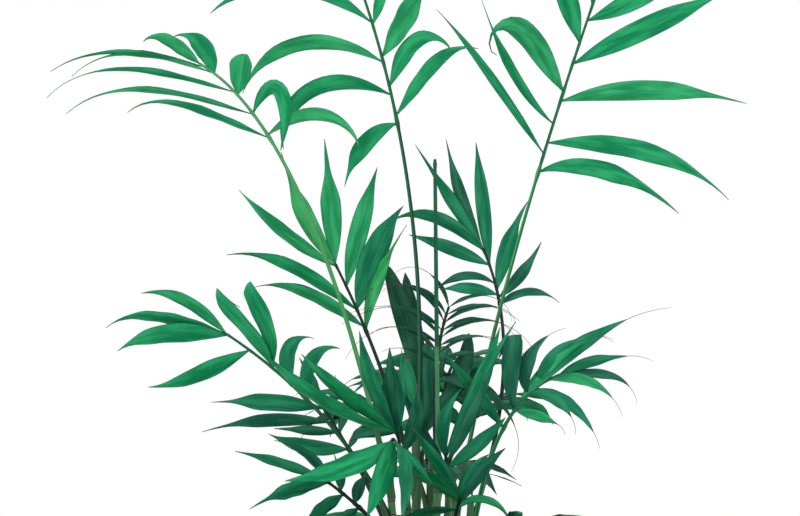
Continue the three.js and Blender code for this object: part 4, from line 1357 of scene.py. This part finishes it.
def blade_shapes(lines, form, rng, sizes, shades, shade_count, fine):
    """Closed blades along their middle lines. Across the blade the face arches down to
    both edges by a square law, and the edges ripple by a sine along the blade. Both fade
    where the blade is less than half as wide as it gets. The underside lies a thickness
    below. A fine blade has its margins in a slot of their own. shades gives each blade's
    slot."""
    count, stations, _ = lines["points"].shape
    share = np.linspace(0, 1, stations)
    length = lines["length"][:, None]
    heading, face = [
        unit(np.concatenate([way[:, :1], way[:, 1:] + way[:, :-1], way[:, -1:]], 1))
        for way in (lines["ways"], lines["faces"])]
    up = unit(face - heading * np.sum(face * heading, -1, keepdims=True))
    across = np.cross(heading, up)
    twist = sizes.twist * rng.uniform(-1, 1, (count, 1))
    roll = (lines["roll"][:, None] + twist * share ** 2)[..., None]
    flat = across * np.cos(roll) + up * np.sin(roll)
    over = up * np.cos(roll) - across * np.sin(roll)
    width = lines["width"][:, None] * sizes.fullness * rng.uniform(*WIDTH_SPREAD, (count, 1))
    half = half_width(width, share, form, rng.uniform(*LEAF_TAIL_START, (count, 1)),
                      rng.uniform(*LEAF_TAIL_DRAW, (count, 1)))
    half = np.maximum(half, LEAST_HALF + FOOT_HALF * (share < FOOT_SHARE))
    level, under = across_blade(np.clip(1 - sizes.margin / MM / half, *MARGIN_LIMITS), fine)
    sideways = level * half[..., None]
    arch = ARCH_PART * np.maximum(ARCH_SHARE * length, LEAST_ARCH)[..., None]
    fade = np.clip(2 * half / half.max(1, keepdims=True), 0, 1)[..., None]
    phase = rng.uniform(0, 2 * np.pi, (count, 1, 1))
    waves = rng.uniform(*RIPPLE_WAVES, (count, 1, 1))
    ripple = RIPPLE_HEIGHT * half[..., None] * level ** 2 * np.sin(
        2 * np.pi * waves * share[:, None] + phase + RIPPLE_SLANT * level)
    height = (fade * (arch * (1 - level ** 2) + ripple)
              - under * sizes.thickness / MM * (1 - EDGE_THINNING * level ** 2))
    points = (lines["points"][:, :, None] + flat[:, :, None] * sideways[..., None]
              + over[:, :, None] * height[..., None])
    marks = np.tile(shades[:, None, None], (1, stations - 1, len(under)))
    if fine:
        marks[:, :, MARGIN_FACES] = shade_count
    thread = sizes.thread / MM * rng.uniform(*THREAD_SPREAD, (count, 1))
    marks[(1 - share[:-1]) * length < thread] = shade_count + 1
    offset = rng.uniform(0, UV_OFFSET, (count, 1, 1))
    uv = np.stack(np.broadcast_arrays(
        sideways * UV_PER_MM + offset,
        share[:, None] * length[..., None] * UV_PER_MM + offset), -1)
    return shells(points * MM, marks, uv)


class PALM_OT_leaflets(bpy.types.Operator):
    """Build the fronds' leaflets"""

    bl_idname = "palm.leaflets"
    bl_label = "Leaflets"

    def execute(self, context):
        sizes = context.scene.palm_leaf
        blades = {name: leaf_finish("leaf_" + name, linear(colour))
                  for name, colour in SHADES.items()}
        margin = plain_finish("leaf_margin", tuple(sizes.margin_colour), 0.6)
        thread = plain_finish("leaf_thread", tuple(sizes.thread_colour), 0.8)
        rng = np.random.default_rng(LEAFLET_SEED)
        for name, fronds in frond_groups().items():
            fine = len(fronds) == 1
            steps = sizes.rows if fine else sizes.fill_rows
            names = list(dict.fromkeys(FROND_SHADES[name]))
            deal = np.array([names.index(shade) for shade in FROND_SHADES[name]])
            parts = []
            dealt = 0
            for frond, side_name in itertools.product(fronds, SIDES):
                lines = swung_lines(frond, side_name, steps)
                count = len(lines["length"])
                turns = dealt + np.arange(count) if fine else rng.integers(
                    0, len(deal), count)
                dealt += count
                parts.append(blade_shapes(
                    lines, BLADE_FORMS.get(name, PLAIN_FORM), rng, sizes,
                    deal[turns % len(deal)], len(names), fine))
            piece("leaflets_" + name, joined(parts),
                  [blades[key] for key in names] + [margin, thread],
                  ["frond_" + frond["name"] for frond in fronds])
        return {"FINISHED"}


def strand_shape(points, ways, length, bend, radius):
    """A fine strand that runs on from a leaflet's end. Its heading turns on in the plane of
    the leaflet's last bend, evenly up to bend, and it tapers to its own end."""
    along = ways[-1]
    square = unit(np.cross(ways[-STRAND_PLANE_STEPS], along))
    angle = np.radians(bend) * (np.arange(STRAND_STEPS) + 0.5)[:, None] / STRAND_STEPS
    heading = along * np.cos(angle) + np.cross(square, along) * np.sin(angle)
    walk = np.cumsum(heading * length / STRAND_STEPS, axis=0)
    line = np.concatenate([points[-2:], points[-1] + walk]) * MM
    taper = np.linspace(1, STRAND_END, len(line))
    return shells(tube(line, radius * taper, STRAND_RING, square)[None])


class PALM_OT_strands(bpy.types.Operator):
    """Build the fine dry strands at the leaflets' ends"""

    bl_idname = "palm.strands"
    bl_label = "Strands"

    def execute(self, context):
        sizes = context.scene.palm_leaf
        dry = plain_finish("dry_strand", tuple(sizes.strand_colour), 0.8)
        rng = np.random.default_rng(STRAND_SEED)
        groups = frond_groups()
        for name, (share, bend) in STRANDS.items():
            parts = []
            for side_name in SIDES:
                lines = swung_lines(groups[name][0], side_name, sizes.rows)
                parts += [
                    strand_shape(points, ways, length * share * rng.uniform(*STRAND_LENGTHS),
                                 bend * rng.uniform(*STRAND_BENDS), sizes.strand_radius)
                    for points, ways, length in zip(
                        lines["points"], lines["ways"], lines["length"])]
            piece("strands_" + name, joined(parts), [dry], [])
        return {"FINISHED"}


# Stage

# The stage, in metres but for the sensor
CAMERA_ACROSS = -0.030
CAMERA_HEIGHT = 0.493
CLIP_END = 100
SENSOR_WIDTH = 36
LIGHT_TARGET = (0, 0, 0.45)
KEY_LIGHT = ((-1.7, -2.6, 2.3), 1.6)  # place and width
SIDE_LIGHT = ((2.4, -0.8, 1.5), 1.2)
FLOOR_CORNERS = 96


def look_at(item, target):
    """Turns a light so that it shines towards a point."""
    along = unit(np.array(target, float) - np.array(item.location))
    flat = np.hypot(along[0], along[1])
    item.rotation_euler = (np.arctan2(flat, -along[2]), 0, np.arctan2(-along[0], along[1]))


def area_light(name, place, width, power):
    """A round light that faces the crown."""
    light = bpy.data.lights.new(name, "AREA")
    light.shape = "DISK"
    light.size = width
    light.energy = power
    item = bpy.data.objects.new(name, light)
    item.location = place
    bpy.context.scene.collection.objects.link(item)
    look_at(item, LIGHT_TARGET)


def studio_floor(sizes):
    """A round floor with a hardly visible mottle."""
    angle = round_angles(FLOOR_CORNERS)
    rim = sizes.floor_radius * np.stack([np.cos(angle), np.sin(angle), 0 * angle], -1)
    mesh = bpy.data.meshes.new("studio_floor")
    mesh.from_pydata(rim.tolist(), [], [list(range(FLOOR_CORNERS))])
    finish = Finish("studio_floor", Roughness=0.8, Specular_IOR_Level=0.2)
    mottle = finish.noise(finish.place(), 3.0, 2.0)
    colour = tuple(sizes.floor_colour)
    finish.feed("Base Color", finish.mix(mottle, scaled(colour, 0.985), colour))
    mesh.materials.append(finish.material)
    return bpy.data.objects.new("studio_floor", mesh)


class PALM_OT_stage(bpy.types.Operator):
    """Build the floor, the lights and the camera"""

    bl_idname = "palm.stage"
    bl_label = "Stage"

    def execute(self, context):
        scene = context.scene
        sizes = scene.palm_stage
        floor = studio_floor(sizes)
        scene.collection.objects.link(floor)

        scene.world = bpy.data.worlds.new("studio_white")
        scene.world.use_nodes = True
        sky = scene.world.node_tree.nodes["Background"]
        sky.inputs["Color"].default_value = (1, 1, 1, 1)
        sky.inputs["Strength"].default_value = sizes.sky_strength
        area_light("key_light", *KEY_LIGHT, sizes.key_power)
        area_light("side_light", *SIDE_LIGHT, sizes.fill_power)

        camera = bpy.data.cameras.new("camera")
        camera.lens = sizes.lens
        camera.sensor_width = SENSOR_WIDTH
        camera.clip_end = CLIP_END
        item = bpy.data.objects.new("camera", camera)
        item.location = (CAMERA_ACROSS, -sizes.distance, CAMERA_HEIGHT)
        item.rotation_euler = (np.pi / 2, 0, 0)
        scene.collection.objects.link(item)
        scene.camera = item
        scene.view_settings.view_transform = "Standard"
        return {"FINISHED"}


OPERATORS = (PALM_OT_pot, PALM_OT_soil, PALM_OT_canes, PALM_OT_spear, PALM_OT_stems,
             PALM_OT_leaflets, PALM_OT_strands, PALM_OT_stage)
SETTINGS = {
    "palm_pot": PalmPotSettings,
    "palm_cane": PalmCaneSettings,
    "palm_leaf": PalmLeafSettings,
    "palm_stage": PalmStageSettings,
}


class PALM_PT_panel(bpy.types.Panel):
    """Settings and pieces of the palm"""

    bl_idname = "PALM_PT_panel"
    bl_label = "Parlor palm"
    bl_space_type = "VIEW_3D"
    bl_region_type = "UI"
    bl_category = "Palm"

    def draw(self, context):
        for name, group in SETTINGS.items():
            box = self.layout.box()
            box.label(text=group.__doc__)
            for key in group.__annotations__:
                box.prop(getattr(context.scene, name), key)
        for operator in OPERATORS:
            self.layout.operator(operator.bl_idname)


def register():
    for group in (*SETTINGS.values(), *OPERATORS, PALM_PT_panel):
        bpy.utils.register_class(group)
    for name, group in SETTINGS.items():
        setattr(bpy.types.Scene, name, bpy.props.PointerProperty(type=group))


def unregister():
    for name in SETTINGS:
        delattr(bpy.types.Scene, name)
    for group in (PALM_PT_panel, *reversed(OPERATORS), *reversed(SETTINGS.values())):
        bpy.utils.unregister_class(group)


def main():
    """Registers the add-on and builds every piece."""
    register()
    for operator in OPERATORS:
        group, call = operator.bl_idname.split(".")
        getattr(getattr(bpy.ops, group), call)()


if __name__ == "__main__":
    main()
